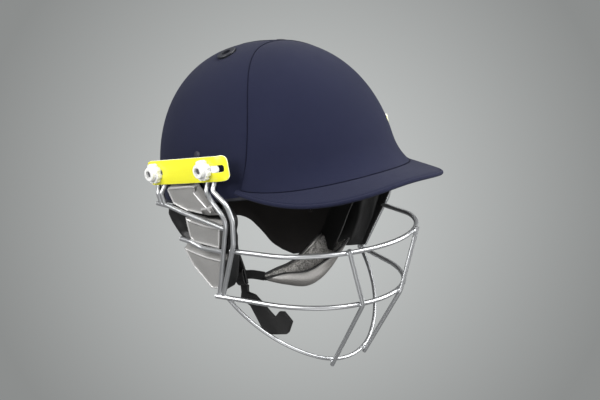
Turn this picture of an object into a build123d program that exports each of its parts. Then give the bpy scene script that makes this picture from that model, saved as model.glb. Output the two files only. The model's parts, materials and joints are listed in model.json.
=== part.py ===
from build123d import *
import os
from math import atan2, cos, hypot, radians, sin, sqrt, tan

# Cricket helmet with a wire face guard, in millimetres.
# X points forward to the face, Y to the wearer's left and Z up. The origin is the centre of the head opening,
# in the plane of the shell's lower rim. All but the chin strap is a mirror image about the XZ plane.

# Dome, measured over its cloth cover
shell_front = 135.0
shell_back = 122.0
shell_half_width = 102.7
shell_height = 133.5
dome_power = 2.2
dome_angles = (15, 30, 45, 60, 75)
cover_thickness = 1.2
shell_wall = 3.0
liner_thickness = 12.0

# Peak: an arched sheet that slopes down to the front
peak_reach = 175.2
peak_start = 54.0
peak_half_width = 94.8
peak_power = 2.54
peak_angles = (20, 40, 60, 75, 90)
peak_slope = 16.5
peak_arch_radius = 223.0
peak_root_height = 3.0
peak_core = 2.4
peak_skin = 1.0
piping_width = 1.8
piping_height = 3.6
piping_round = 0.8

# Edge strip below the rim
binding_lap = 0.3
binding_depth = 3.0
binding_round = 1.0

# Side seams of the cover, as x and z of the seam line
seam_foot_x = 55.0
seam_bulge_x = 66.0
seam_bulge_z = 68.0
seam_crown_x = 27.0
seam_gap = 0.3

# Vent eyelets behind the seam
vent_x = 6.0
vent_y = 37.0
vent_flange_radius = 9.5
vent_flange_height = 1.8
vent_barrel_radius = 6.5
vent_bore_radius = 4.4
vent_barrel_depth = 8.0
vent_round = 0.7
bore_clearance = 0.1

# Comfort pads on the liner
crown_pad_radius = 28.0
crown_pad_thickness = 7.0
forehead_pad_thickness = 6.0
forehead_pad_bottom = 4.0
forehead_pad_top = 32.0
forehead_pad_x = 62.0

# Apron below the rim, with a lobe on each side and an arch at the back
apron_front = 118.0
apron_back = 112.0
apron_half_width = 92.0
apron_taper = 15.5
apron_thickness = 7.0
apron_drop = 89.0
apron_edge_shares = ((-1.20, -0.46), (-0.88, -0.47), (-0.77, -0.68), (-0.58, -0.95), (-0.42, -1.0),
                     (-0.11, -0.89), (0.05, -0.67), (0.14, -0.39), (0.18, 0.0))
stud_radius = 3.0
stud_height = 1.6
stud_x = -32.0
stud_z = -45.0

# Side plates, each with a front and a rear slot
plate_rear_x = -50.0
plate_length = 121.5
plate_height = 23.0
plate_mid_z = 29.5
plate_corner = 6.5
plate_inner_y = 109.0
plate_thickness = 2.0
slot_height = 6.5
front_slot_rear = 30.0
front_slot_front = 60.0
rear_slot_rear = -44.0
rear_slot_front = -28.5
mount_length = 26.0
mount_mid_x = 2.0
mount_height = 15.0
mount_round = 2.0
rivet_x = 13.0
rivet_z = 44.0
rivet_radius = 4.0
rivet_height = 1.8

# Bolts, knob nuts and the slider in the front slot
bolt_spacing = 74.5
front_bolt_x = 36.0
bolt_radius = 2.5
bolt_head_radius = 6.0
bolt_head_thickness = 2.0
bolt_reach = 7.6
nut_radius = 9.4
nut_base_thickness = 4.6
nut_boss_radius = 6.4
nut_boss_thickness = 4.2
nut_lobes = 8
nut_scallop_radius = 2.2
nut_scallop_inset = 0.9
nut_recess_radius = 3.6
nut_recess_depth = 2.4
nut_round = 0.8
running_clearance = 0.05
face_clearance = 0.2
slider_rear_lap = 3.6
slider_front_x = 54.4

# Wires of the face guard
bar_radius = 2.25
chin_bar_radius = 1.8
upright_radius = 2.0
weld_sink = 0.6
guard_half_width = 108.8
guard_lean = 9.1
wire_bend = 14.0
kink_bend = 4.0
kink_height = 13.0
hairpin_top_slack = 0.1

# U-shaped bars: x of the ends, half width there, inward lean of the legs, depth, radius of the front arc
# and of the side arcs, height of the ends and downward tilt of the bar's plane
top_bar_size = dict(end_x=35.8, half_width=98.9, lean=13.8, depth=104.2, front=96.2, side=41.9,
                    end_z=-48.0, tilt=9.1)
mid_bar_size = dict(end_x=-1.4, half_width=96.6, lean=16.6, depth=121.8, front=76.8, side=108.2,
                    end_z=-92.0, tilt=11.3)
chin_bar_size = dict(end_x=6.4, half_width=91.1, lean=10.5, depth=98.3, front=63.6, side=132.0,
                     end_z=-93.2, tilt=56.3)

# Side frames on the leaning side plane: the length in x and the drop in z that their shares follow
side_length = 55.0
side_drop = 92.0
rear_rod_shares = ((0.58, 0.11), (0.62, 0.01), (0.85, -0.20), (0.03, -0.99))
front_rod_shares = ((0.745, 0.11), (0.99, -0.045), (1.0, -0.21), (0.83, -0.45), (0.13, -0.99))
rear_outer_shares = ((-0.76, 0.11), (-0.755, -0.01))
rear_inner_shares = ((-0.665, 0.11), (-0.66, -0.02))
upper_cross_shares = ((-0.87, 0.005), (-0.575, -0.03), (-0.26, -0.10), (0.73, -0.285))
lower_cross_shares = ((-0.54, -0.385), (-0.29, -0.42), (-0.035, -0.485), (0.48, -0.525))

# Front uprights: distance from the middle at each bar, and what stands out past the outer bars
upright_top_y = 42.3
upright_mid_y = 24.1
upright_foot_y = 20.9
upright_overhang = 4.0
upright_bend = 8.0

# Ear pads behind the rods: rear end, top, length and height, with outline shares of the last two
pad_gap = 0.05
pad_thickness = 12.0
pad_round = 2.0
pad_corner = 4.0
pad_shell_gap = 1.0
pad_rim_gap = 1.2
upper_pad_size = dict(rear_x=-32.0, top_z=17.0, length=65.0, height=32.5)
upper_pad_shares = ((0, -0.12), (0.06, -0.03), (0.70, 0), (1.0, -0.70), (1.0, -1.0), (0.66, -1.0), (0.34, -0.86),
                    (0.05, -0.61))
middle_pad_size = dict(rear_x=-27.0, top_z=-8.0, length=63.0, height=40.0)
middle_pad_shares = ((0, 0), (0.27, -0.16), (0.60, -0.28), (1.0, -0.34), (0.76, -1.0), (0.16, -0.83), (0.03, -0.75))
lower_pad_size = dict(rear_x=-37.5, top_z=-41.0, length=64.0, height=47.0)
lower_pad_shares = ((0, 0), (0.52, -0.20), (1.0, -0.31), (0.64, -1.0), (0.40, -1.0), (0.12, -0.52))

# Chin strap
web_width = 25.0
narrow_web_width = 14.0
web_thickness = 1.6
left_leg_route = ((34.0, 80.4, 13.0), (34.0, 80.3, 3.0), (34.5, 79.3, -4.0), (37.0, 74.0, -33.0), (19.0, 51.5, -62.0))
left_leg_flat = (1.0, -0.2, 0.0)
right_leg_route = ((-6.0, -84.3, 13.0), (-6.0, -83.6, 3.0), (-5.5, -81.5, -4.0), (-4.5, -68.5, -44.0),
                   (-4.0, -60.4, -75.2))
right_leg_flat = (1.0, 0.0, 0.0)
rear_leg_route = ((-29.0, -65.0, -53.0), (-27.5, -60.0, -66.0), (-23.5, -58.6, -76.5), (-18.0, -59.4, -81.0),
                  (-11.4, -60.4, -81.0))
rear_leg_flat = (1.0, -0.3, 1.0)
rear_leg_width = 12.0
cup_strap_route = ((3.3, -60.4, -81.0), (13.0, -51.0, -79.5))
cup_strap_flat = (0.0, 0.0, 1.0)
cup_strap_width = 10.0
anchor_radius = 5.0
anchor_thickness = 1.4
anchor_clearance = 0.4
anchor_z = 8.0
buckle_x = -4.0
buckle_y = -60.4
buckle_z = -83.0
buckle_width = 14.0
buckle_height = 15.0
buckle_bar = 2.6
buckle_thickness = 2.4
buckle_corner = 2.0

# Free end of the webbing, folded into a tick: outline shares of its length and drop below the buckle
tail_length = 62.0
tail_drop = 48.0
tail_fold_thickness = 3.2
tail_round = 0.5
tail_shares = ((-0.04, 0), (0.12, 0), (0.09, -0.15), (0.24, -0.20), (0.40, -0.37), (0.50, -0.48), (0.63, -0.63),
               (0.75, -0.51), (0.85, -0.51), (1.0, -0.70), (0.87, -0.92), (0.81, -0.965), (0.35, -1.0),
               (0.31, -0.985), (0.09, -0.43), (-0.10, -0.30), (-0.05, -0.14))

# Chin cup: a trough through sections whose shares are the distance across, the place in x, the rise of
# the lips, the width and the depth
cup_half_width = 50.0
cup_x = 10.0
cup_lip_z = -80.0
cup_rise = 17.0
cup_width = 34.0
cup_depth = 16.0
cup_section_shares = ((-1.0, 0.18, 0.06, 0.42, 0.22), (-0.5, 0.09, -0.12, 0.55, 0.72), (0, 0, 0, 0.66, 0.97),
                      (0.5, 0, 0.44, 0.84, 0.75), (1.0, 0.03, 1.0, 1.0, 0.36))
cup_tilt = 20.0
cup_wall = 2.2
lining_wall = 2.6
lining_least = 0.4

# Overrun of cutting shapes
overrun = 60.0

os.makedirs("parts", exist_ok=True)


def save(part, name):
    """Label a piece and write it."""
    part.label = name
    export_step(part, f"parts/{name}.step")


def save_pair(part, name):
    """Write a piece of the wearer's left and its mirror image on the right."""
    save(part, f"{name}_left")
    save(mirror(part, about=Plane.XZ), f"{name}_right")


def half_dome(length, inset, keep):
    """Front or back half of the solid dome, inset from the cover's outer face."""
    half_width = shell_half_width - inset
    height = shell_height - inset
    angles = [radians(angle) for angle in dome_angles]
    bend = [(half_width * cos(a) ** (2 / dome_power), height * sin(a) ** (2 / dome_power)) for a in angles]
    with BuildPart() as half:
        with BuildSketch(Plane.XZ):
            with BuildLine():
                Spline((half_width, 0), *bend, (0, height), tangents=((0, 1), (-1, 0)))
                Polyline((0, height), (0, 0), (half_width, 0))
            make_face()
        revolve(axis=Axis.Z)
        split(bisect_by=Plane.YZ, keep=keep)
        scale(by=((length - inset) / half_width, 1, 1))
    return half.part


def dome(inset):
    """Whole solid dome, inset from the cover's outer face."""
    with BuildPart() as solid:
        add(half_dome(shell_front, inset, Keep.TOP))
        add(half_dome(shell_back, inset, Keep.BOTTOM))
    return solid.part


def oval(front, back, half_width, height):
    """Plan outline of two half ellipses that meet at the widest point."""
    with BuildSketch(Plane.XY.offset(height)) as outline:
        with BuildLine():
            EllipticalCenterArc((0, 0), front, half_width, -90, arc_size=180)
            EllipticalCenterArc((0, 0), back, half_width, 90, arc_size=180)
        make_face()
    return outline.sketch


def visor(top, bottom, grow):
    """Arched sheet of the peak, from top above its middle surface to bottom below it, grown in plan."""
    slope = radians(peak_slope)
    root = Plane(origin=(shell_front, 0, peak_root_height), x_dir=(0, 1, 0), z_dir=(cos(slope), 0, -sin(slope)))
    reach = peak_reach + grow - peak_start
    half_width = peak_half_width + grow
    angles = [radians(angle) for angle in peak_angles]
    edge = [(peak_start + reach * sin(a) ** (2 / peak_power), half_width * abs(cos(a)) ** (2 / peak_power))
            for a in angles]
    far_edge = [(x, -y) for x, y in reversed(edge[:-1])]
    with BuildPart() as sheet:
        with BuildSketch(root):
            with Locations((0, -peak_arch_radius)):
                Circle(peak_arch_radius + top)
                Circle(peak_arch_radius - bottom, mode=Mode.SUBTRACT)
            with Locations((0, top - half_width)):
                Rectangle(3 * half_width, 2 * half_width, mode=Mode.INTERSECT)
        extrude(amount=peak_reach, both=True)
        with BuildSketch(Plane.XY.offset(-peak_reach)):
            with BuildLine():
                Spline((peak_start, half_width), *edge, *far_edge, (peak_start, -half_width),
                       tangents=((1, 0), (-1, 0)))
                Line((peak_start, -half_width), (peak_start, half_width))
            make_face()
        extrude(amount=2 * peak_reach, mode=Mode.INTERSECT)
    return sheet.part


def side_plane(y):
    """Upright plane at a distance to the wearer's left; what is drawn there extrudes inwards."""
    return Plane.XZ.offset(-y)


def guard_y(z):
    """Distance of the leaning side plane of the guard from the middle, at a height."""
    return guard_half_width + tan(radians(guard_lean)) * z


def wire(points, bend, radius):
    """Round wire along straight runs that tangent arcs join."""
    with BuildPart() as rod:
        with BuildLine() as path:
            FilletPolyline(*points, radius=bend)
        with BuildSketch(Plane(origin=path.line @ 0, z_dir=path.line % 0)):
            Circle(radius)
        sweep()
    return rod.part


def bar_plane(end_x, end_z, tilt):
    """Plane of a U-shaped bar, with its x along the helmet's middle and down to the front."""
    tilt = radians(tilt)
    return Plane(origin=(end_x, 0, end_z), x_dir=(cos(tilt), 0, -sin(tilt)), z_dir=(sin(tilt), 0, cos(tilt)))


def u_bar(end_x, half_width, lean, depth, front, side, end_z, tilt, radius):
    """U-shaped bar: two leaning legs, two side arcs and a front arc, all tangent, in a tilted plane."""
    lean = radians(lean)
    turn = 1 if side < front else -1
    front_centre = depth - front
    start_x = -sin(lean) * side - front_centre
    start_y = half_width - cos(lean) * side
    along = start_x * cos(lean) - start_y * sin(lean)
    spare = start_x ** 2 + start_y ** 2 - (front - side) ** 2
    run = turn * sqrt(along ** 2 - spare) - along
    centre_x = start_x + run * cos(lean)
    centre_y = start_y - run * sin(lean)
    reach = turn * front / hypot(centre_x, centre_y)
    meet = (front_centre + reach * centre_x, reach * centre_y)
    leg_end = (front_centre + centre_x + side * sin(lean), centre_y + side * cos(lean))
    slant = (lean + atan2(meet[0] - front_centre - centre_x, meet[1] - centre_y)) / 2
    middle = (front_centre + centre_x + side * sin(slant), centre_y + side * cos(slant))
    with BuildPart() as bar:
        with BuildLine(bar_plane(end_x, end_z, tilt)) as path:
            Line((0, half_width), leg_end)
            ThreePointArc(leg_end, middle, meet)
            ThreePointArc(meet, (depth, 0), (meet[0], -meet[1]))
            ThreePointArc((meet[0], -meet[1]), (middle[0], -middle[1]), (leg_end[0], -leg_end[1]))
            Line((leg_end[0], -leg_end[1]), (0, -half_width))
        with BuildSketch(Plane(origin=path.line @ 0, z_dir=path.line % 0)):
            Circle(radius)
        sweep()
    return bar.part


def beside_bar(size, y, out):
    """Point outside the front arc of a U-shaped bar, at a distance across and out from its centre line."""
    depth_here = sqrt(size["front"] ** 2 - y ** 2)
    share = 1 + out / size["front"]
    place = (size["depth"] - size["front"] + depth_here * share, y * share)
    return bar_plane(size["end_x"], size["end_z"], size["tilt"]).from_local_coords(Vector(*place))


def webbing(route, width, flat):
    """Flat webbing through the points of a route; flat is the direction that its width follows."""
    points = [Vector(*point) for point in route]
    faces = []
    for index, point in enumerate(points):
        ahead = points[min(index + 1, len(points) - 1)] - points[max(index - 1, 0)]
        across = Vector(*flat) - ahead.normalized() * Vector(*flat).dot(ahead.normalized())
        with BuildSketch(Plane(origin=point, x_dir=across, z_dir=ahead)) as section:
            Rectangle(width, web_thickness)
        faces.append(section.sketch.face())
    with BuildPart() as strip:
        loft(sections=faces, ruled=True)
    return strip.part


def ear_pad(size, shares):
    """Pad behind the rods of the leaning side plane."""
    lean = radians(guard_lean)
    outer = guard_half_width - (bar_radius + pad_gap) / cos(lean)
    plane = Plane(origin=(0, outer, 0), x_dir=(1, 0, 0), z_dir=(0, -cos(lean), sin(lean)))
    outline = [(size["rear_x"] + x * size["length"], (size["top_z"] + z * size["height"]) / cos(lean))
               for x, z in shares]
    with BuildPart() as pad:
        with BuildSketch(plane):
            with BuildLine():
                Polyline(*outline, close=True)
            make_face()
            fillet(vertices(), radius=pad_corner)
        extrude(amount=pad_thickness)
        fillet(faces().sort_by(Axis.Y)[-1].edges(), radius=pad_round)
    return pad.part


def trough(top_inset, bottom_inset):
    """Chin cup layer between two depths inside the cup's outer face."""
    tilt = radians(cup_tilt)
    sections = []
    for y, x, z, width, depth in cup_section_shares:
        outer_half = cup_width * width / 2 - top_inset
        outer_depth = cup_depth * depth - top_inset
        inner_half = cup_width * width / 2 - bottom_inset
        inner_depth = max(cup_depth * depth - bottom_inset, lining_least)
        place = (cup_x + x * cup_width, y * cup_half_width, cup_lip_z + z * cup_rise)
        with BuildSketch(Plane(origin=place, x_dir=(cos(tilt), 0, -sin(tilt)), z_dir=(0, -1, 0))) as section:
            with BuildLine():
                ThreePointArc((-outer_half, 0), (0, -outer_depth), (outer_half, 0))
                Line((outer_half, 0), (inner_half, 0))
                ThreePointArc((inner_half, 0), (0, -inner_depth), (-inner_half, 0))
                Line((-inner_half, 0), (-outer_half, 0))
            make_face()
        sections.append(section.sketch.face())
    with BuildPart() as layer:
        loft(sections=sections)
    return layer.part


# Dome surfaces from the cover inwards
cover_outer = dome(0)
shell_outer = dome(cover_thickness)
shell_inner = dome(cover_thickness + shell_wall)
liner_inner = dome(cover_thickness + shell_wall + liner_thickness)
peak_half_core = peak_core / 2
peak_half_full = peak_half_core + peak_skin

# Vent places on the dome, and the dome's outward direction there
vent_ring = hypot(vent_x / shell_front, vent_y / shell_half_width)
vent_z = shell_height * (1 - vent_ring ** dome_power) ** (1 / dome_power)
vent_spread = vent_ring ** (dome_power - 2)
vent_normal = Vector(vent_spread * vent_x / shell_front ** 2, vent_spread * vent_y / shell_half_width ** 2,
                     vent_z ** (dome_power - 1) / shell_height ** dome_power).normalized()
vent_plane = Plane(origin=(vent_x, vent_y, vent_z), z_dir=vent_normal)

with BuildPart() as vent_hole:
    with BuildSketch(vent_plane.offset(-overrun / 2)):
        Circle(vent_barrel_radius + bore_clearance)
    extrude(amount=overrun)
vent_holes = [vent_hole.part, mirror(vent_hole.part, about=Plane.XZ)]

with BuildPart() as shell:
    add(shell_outer)
    add(visor(peak_half_core, peak_half_core, 0))
    add(shell_inner, mode=Mode.SUBTRACT)
    add(vent_holes, mode=Mode.SUBTRACT)
save(shell.part, "shell")

with BuildPart() as cover:
    add(cover_outer)
    add(shell_outer, mode=Mode.SUBTRACT)
    add(visor(peak_half_core, overrun, 0), mode=Mode.SUBTRACT)
    add(vent_holes, mode=Mode.SUBTRACT)


def seam_side(shift, far_x):
    """Block on one side of the seam line, to a far x, seen from the wearer's right."""
    with BuildPart() as block:
        with BuildSketch(Plane.XZ):
            with BuildLine():
                top = (seam_crown_x + shift, shell_height + binding_depth)
                foot = (seam_foot_x + shift, -binding_depth)
                ThreePointArc(top, (seam_bulge_x + shift, seam_bulge_z), foot)
                Polyline(foot, (far_x, -binding_depth), (far_x, shell_height + binding_depth), top)
            make_face()
        extrude(amount=2 * shell_half_width, both=True)
    return block.part


with BuildPart() as cover_front:
    add(cover.part)
    add(seam_side(seam_gap / 2, 2 * shell_front), mode=Mode.INTERSECT)
save(cover_front.part, "cover_front")

with BuildPart() as cover_rear_left:
    add(cover.part)
    add(seam_side(-seam_gap / 2, -2 * shell_back), mode=Mode.INTERSECT)
    split(bisect_by=Plane.XZ.offset(-seam_gap / 2), keep=Keep.BOTTOM)
save_pair(cover_rear_left.part, "cover_rear")

with BuildPart() as peak_cover:
    add(visor(peak_half_full, peak_half_full, peak_skin))
    add(visor(peak_half_core, peak_half_core, 0), mode=Mode.SUBTRACT)
    add(cover_outer, mode=Mode.SUBTRACT)
    add(shell_inner, mode=Mode.SUBTRACT)
    extrude(oval(shell_front + binding_lap, shell_back + binding_lap, shell_half_width + binding_lap,
                 -binding_depth), amount=binding_depth, mode=Mode.SUBTRACT)
save(peak_cover.part, "peak_cover")

with BuildPart() as peak_piping:
    add(visor(piping_height / 2, piping_height / 2, peak_skin + piping_width))
    add(visor(overrun, overrun, peak_skin), mode=Mode.SUBTRACT)
    add(cover_outer, mode=Mode.SUBTRACT)
save(peak_piping.part, "peak_piping")

with BuildPart() as rim_binding:
    ring_outer = -binding_lap
    ring_inner = cover_thickness + shell_wall + binding_round
    extrude(oval(shell_front - ring_outer, shell_back - ring_outer, shell_half_width - ring_outer, -binding_depth),
            amount=binding_depth)
    fillet(faces().sort_by(Axis.Z)[0].edges(), radius=binding_round)
    extrude(oval(shell_front - ring_inner, shell_back - ring_inner, shell_half_width - ring_inner, -binding_depth),
            amount=binding_depth, mode=Mode.SUBTRACT)
save(rim_binding.part, "rim_binding")

with BuildPart() as vent_grommet:
    with BuildSketch(vent_plane):
        Circle(vent_flange_radius)
    extrude(amount=vent_flange_height)
    fillet(faces().sort_by(Axis.Z)[-1].edges(), radius=vent_round)
    with BuildSketch(vent_plane):
        Circle(vent_flange_radius)
    extrude(amount=-vent_flange_height)
    add(cover_outer, mode=Mode.SUBTRACT)
    with BuildSketch(vent_plane.offset(vent_flange_height / 2)):
        Circle(vent_barrel_radius)
    extrude(amount=-vent_barrel_depth)
    with BuildSketch(vent_plane.offset(-overrun / 2)):
        Circle(vent_bore_radius)
    extrude(amount=overrun, mode=Mode.SUBTRACT)
save_pair(vent_grommet.part, "vent_grommet")

with BuildPart() as liner:
    add(shell_inner)
    add(liner_inner, mode=Mode.SUBTRACT)
    add(vent_holes, mode=Mode.SUBTRACT)
save(liner.part, "liner")

pad_inset_depth = cover_thickness + shell_wall + liner_thickness
with BuildPart() as crown_pad:
    add(liner_inner)
    add(dome(pad_inset_depth + crown_pad_thickness), mode=Mode.SUBTRACT)
    with BuildSketch():
        Circle(crown_pad_radius)
    extrude(amount=shell_height, mode=Mode.INTERSECT)
    add(vent_holes, mode=Mode.SUBTRACT)
save(crown_pad.part, "crown_pad")

with BuildPart() as forehead_pad:
    add(liner_inner)
    add(dome(pad_inset_depth + forehead_pad_thickness), mode=Mode.SUBTRACT)
    with BuildSketch(Plane.XY.offset(forehead_pad_bottom)):
        with Locations((forehead_pad_x, 0)):
            Rectangle(shell_front, 2 * shell_half_width, align=(Align.MIN, Align.CENTER))
    extrude(amount=forehead_pad_top - forehead_pad_bottom, mode=Mode.INTERSECT)
save(forehead_pad.part, "forehead_pad")

# Apron
apron_shrink = tan(radians(apron_taper)) * apron_drop


def apron_layer(inset):
    """Tapering solid that the apron is cut from, inset from its outer face."""
    with BuildPart() as layer:
        loft(sections=[
            oval(apron_front - inset, apron_back - inset, apron_half_width - inset, 0).face(),
            oval(apron_front - inset - apron_shrink, apron_back - inset - apron_shrink,
                 apron_half_width - inset - apron_shrink, -apron_drop).face()], ruled=True)
    return layer.part


with BuildPart() as neck_apron:
    add(apron_layer(0))
    add(apron_layer(apron_thickness), mode=Mode.SUBTRACT)
    with BuildSketch(Plane.XZ):
        with BuildLine():
            edge_points = [(x * apron_back, z * apron_drop) for x, z in apron_edge_shares]
            Spline(*edge_points)
            Polyline(edge_points[-1], (edge_points[0][0], 0), edge_points[0])
        make_face()
    extrude(amount=2 * apron_half_width, both=True, mode=Mode.INTERSECT)
save(neck_apron.part, "neck_apron")

with BuildPart() as apron_stud:
    with BuildSketch(side_plane(apron_half_width)):
        with Locations((stud_x, stud_z)):
            Circle(stud_radius)
    extrude(amount=apron_half_width / 2)
    add(apron_layer(apron_thickness + stud_height), mode=Mode.SUBTRACT)
    add(apron_layer(apron_thickness), mode=Mode.INTERSECT)
save_pair(apron_stud.part, "apron_stud")

# Side plates and what carries them
plate_outer_y = plate_inner_y + plate_thickness
rear_bolt_x = front_bolt_x - bolt_spacing
plate_mid_x = plate_rear_x + plate_length / 2

with BuildPart() as side_plate:
    with BuildSketch(side_plane(plate_outer_y)):
        with Locations((plate_mid_x, plate_mid_z)):
            RectangleRounded(plate_length, plate_height, plate_corner)
        for slot_rear, slot_front in ((front_slot_rear, front_slot_front), (rear_slot_rear, rear_slot_front)):
            with Locations(((slot_rear + slot_front) / 2, plate_mid_z)):
                SlotOverall(slot_front - slot_rear, slot_height, mode=Mode.SUBTRACT)
    extrude(amount=plate_thickness)
save_pair(side_plate.part, "side_plate")

with BuildPart() as plate_mount:
    with BuildSketch(side_plane(plate_inner_y)):
        with Locations((mount_mid_x, plate_mid_z)):
            RectangleRounded(mount_length, mount_height, mount_round)
    extrude(amount=plate_inner_y - shell_half_width / 2)
    add(cover_outer, mode=Mode.SUBTRACT)
save_pair(plate_mount.part, "plate_mount")

with BuildPart() as strap_rivet:
    with BuildSketch(side_plane(shell_half_width + rivet_height)):
        with Locations((rivet_x, rivet_z)):
            Circle(rivet_radius)
    extrude(amount=2 * rivet_height + binding_depth)
    fillet(faces().sort_by(Axis.Y)[-1].edges(), radius=rivet_height / 2)
    add(cover_outer, mode=Mode.SUBTRACT)
save_pair(strap_rivet.part, "strap_rivet")

# Bolts hang the guard in the slots, and knob nuts clamp it
hairpin_y = plate_inner_y - face_clearance - bar_radius
bolt_head_outer_y = hairpin_y - bar_radius - running_clearance
bolt_tip_y = plate_outer_y + bolt_reach


def bolt(x):
    """Bolt from behind the hairpin to the knob nut."""
    with BuildPart() as piece:
        with BuildSketch(side_plane(bolt_head_outer_y)):
            with Locations((x, plate_mid_z)):
                Circle(bolt_head_radius)
        extrude(amount=bolt_head_thickness)
        with BuildSketch(side_plane(bolt_tip_y)):
            with Locations((x, plate_mid_z)):
                Circle(bolt_radius)
        extrude(amount=bolt_tip_y - bolt_head_outer_y)
    return piece.part


def knob_nut(x):
    """Lobed knob nut with a stepped boss and a recess for the bolt's end."""
    base_y = plate_outer_y + face_clearance
    with BuildPart() as nut:
        with BuildSketch(side_plane(base_y + nut_base_thickness)):
            with Locations((x, plate_mid_z)):
                Circle(nut_radius)
                with PolarLocations(nut_radius + nut_scallop_inset, nut_lobes):
                    Circle(nut_scallop_radius, mode=Mode.SUBTRACT)
        extrude(amount=nut_base_thickness)
        with BuildSketch(side_plane(base_y + nut_base_thickness + nut_boss_thickness)):
            with Locations((x, plate_mid_z)):
                Circle(nut_boss_radius)
        extrude(amount=nut_boss_thickness)
        fillet(faces().sort_by(Axis.Y)[-1].edges(), radius=nut_round)
        with BuildSketch(side_plane(base_y + nut_base_thickness + nut_boss_thickness)):
            with Locations((x, plate_mid_z)):
                Circle(nut_recess_radius)
        extrude(amount=nut_recess_depth, mode=Mode.SUBTRACT)
        with BuildSketch(side_plane(base_y + nut_base_thickness + nut_boss_thickness)):
            with Locations((x, plate_mid_z)):
                Circle(bolt_radius + running_clearance)
        extrude(amount=nut_base_thickness + nut_boss_thickness, mode=Mode.SUBTRACT)
    return nut.part


for place, bolt_x in (("front", front_bolt_x), ("rear", rear_bolt_x)):
    save_pair(bolt(bolt_x), f"{place}_bolt")
    save_pair(knob_nut(bolt_x), f"{place}_nut")

with BuildPart() as slot_slider:
    slider_rear_x = front_bolt_x - slider_rear_lap
    slider_length = slider_front_x - slider_rear_x
    with BuildSketch(side_plane(plate_outer_y)):
        with Locations((slider_rear_x + slider_length / 2, plate_mid_z)):
            SlotOverall(slider_length, slot_height - 2 * face_clearance)
        with Locations((front_bolt_x, plate_mid_z)):
            Circle(bolt_radius + running_clearance, mode=Mode.SUBTRACT)
    extrude(amount=plate_thickness)
save_pair(slot_slider.part, "slot_slider")

# Bars of the face guard
top_bar = u_bar(**top_bar_size, radius=bar_radius)
mid_bar = u_bar(**mid_bar_size, radius=bar_radius)
chin_bar = u_bar(**chin_bar_size, radius=chin_bar_radius)


def on_guard(shares):
    """Points of the leaning side plane, from shares of the side frame's length and drop."""
    return [(x * side_length, guard_y(z * side_drop), z * side_drop) for x, z in shares]


def hairpin(rear_shares, front_shares, bolt_x):
    """Wire from the foot of one leg round a bolt to the foot of the other."""
    half_gap = bolt_radius + bar_radius + running_clearance
    heights = (plate_mid_z - kink_height, plate_mid_z + half_gap)
    rear_leg = [(bolt_x - half_gap, hairpin_y, z) for z in heights]
    front_leg = [(bolt_x + half_gap, hairpin_y, z) for z in reversed(heights)]
    points = on_guard(rear_shares)[::-1] + rear_leg + front_leg + on_guard(front_shares)
    bends = [wire_bend] * (len(rear_shares) - 2) + [kink_bend] * 2
    bends += [half_gap - hairpin_top_slack] * 2
    bends += [kink_bend] * 2 + [wire_bend] * (len(front_shares) - 2)
    return wire(points, bends, bar_radius)


def coped(rod, *others):
    """What stays of a rod where others run through it, without the cut-off tips."""
    for other in others:
        rod = rod - other
    return rod.solids().sort_by(SortBy.VOLUME)[-1]


side_rods = coped(hairpin(rear_rod_shares, front_rod_shares, front_bolt_x), mid_bar)
far_rods = mirror(side_rods, about=Plane.XZ)
top_bar = coped(top_bar, side_rods, far_rods)
chin_bar = coped(chin_bar, mid_bar, side_rods, far_rods)
upper_cross_bar = coped(wire(on_guard(upper_cross_shares), wire_bend, bar_radius), side_rods)
lower_cross_bar = coped(wire(on_guard(lower_cross_shares), wire_bend, bar_radius), side_rods)
rear_hairpin = coped(hairpin(rear_outer_shares, rear_inner_shares, rear_bolt_x), upper_cross_bar)

# Front uprights, outside the bars that they join
upright_out = bar_radius + upright_radius - weld_sink
upright_points = [beside_bar(top_bar_size, upright_top_y, upright_out),
                  beside_bar(mid_bar_size, upright_mid_y, upright_out),
                  beside_bar(chin_bar_size, upright_foot_y, upright_out)]
upper_run = (upright_points[0] - upright_points[1]).normalized()
lower_run = (upright_points[2] - upright_points[1]).normalized()
upright_points[0] += upper_run * upright_overhang
upright_points[2] += lower_run * upright_overhang
front_upright = coped(wire(upright_points, upright_bend, upright_radius), top_bar, mid_bar, chin_bar)

save(top_bar, "top_bar")
save(mid_bar, "mid_bar")
save(chin_bar, "chin_bar")
save_pair(front_upright, "front_upright")
save_pair(side_rods, "side_rods")
save_pair(rear_hairpin, "rear_hairpin")
save_pair(upper_cross_bar, "upper_cross_bar")
save_pair(lower_cross_bar, "lower_cross_bar")

# Ear pads, clear of the shell above the rim
with BuildPart() as shell_space:
    with BuildSketch(Plane.XY.offset(-binding_depth - pad_rim_gap)):
        Rectangle(2 * shell_front, 2 * (shell_half_width + pad_shell_gap))
    extrude(amount=overrun)

save_pair(ear_pad(upper_pad_size, upper_pad_shares) - shell_space.part, "ear_pad_upper")
save_pair(ear_pad(middle_pad_size, middle_pad_shares), "ear_pad_middle")
save_pair(ear_pad(lower_pad_size, lower_pad_shares), "ear_pad_lower")

# Chin strap
buckle_plane = Plane(origin=(buckle_x, buckle_y, buckle_z), x_dir=(1, 0, 0), z_dir=(0, -1, 0))
with BuildPart() as strap_slider:
    with BuildSketch(buckle_plane):
        RectangleRounded(buckle_width, buckle_height, buckle_corner)
        with GridLocations(0, (buckle_height - buckle_bar) / 2, 1, 2):
            Rectangle(buckle_width - 2 * buckle_bar, (buckle_height - 3 * buckle_bar) / 2, mode=Mode.SUBTRACT)
    extrude(amount=buckle_thickness / 2, both=True)
save(strap_slider.part, "strap_slider")

save(webbing(left_leg_route, web_width, left_leg_flat), "strap_leg_left")
save(webbing(right_leg_route, narrow_web_width, right_leg_flat), "strap_leg_right")
save(coped(webbing(rear_leg_route, rear_leg_width, rear_leg_flat), neck_apron.part), "strap_rear_leg")
save(webbing(cup_strap_route, cup_strap_width, cup_strap_flat) - strap_slider.part, "cup_strap")

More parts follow.
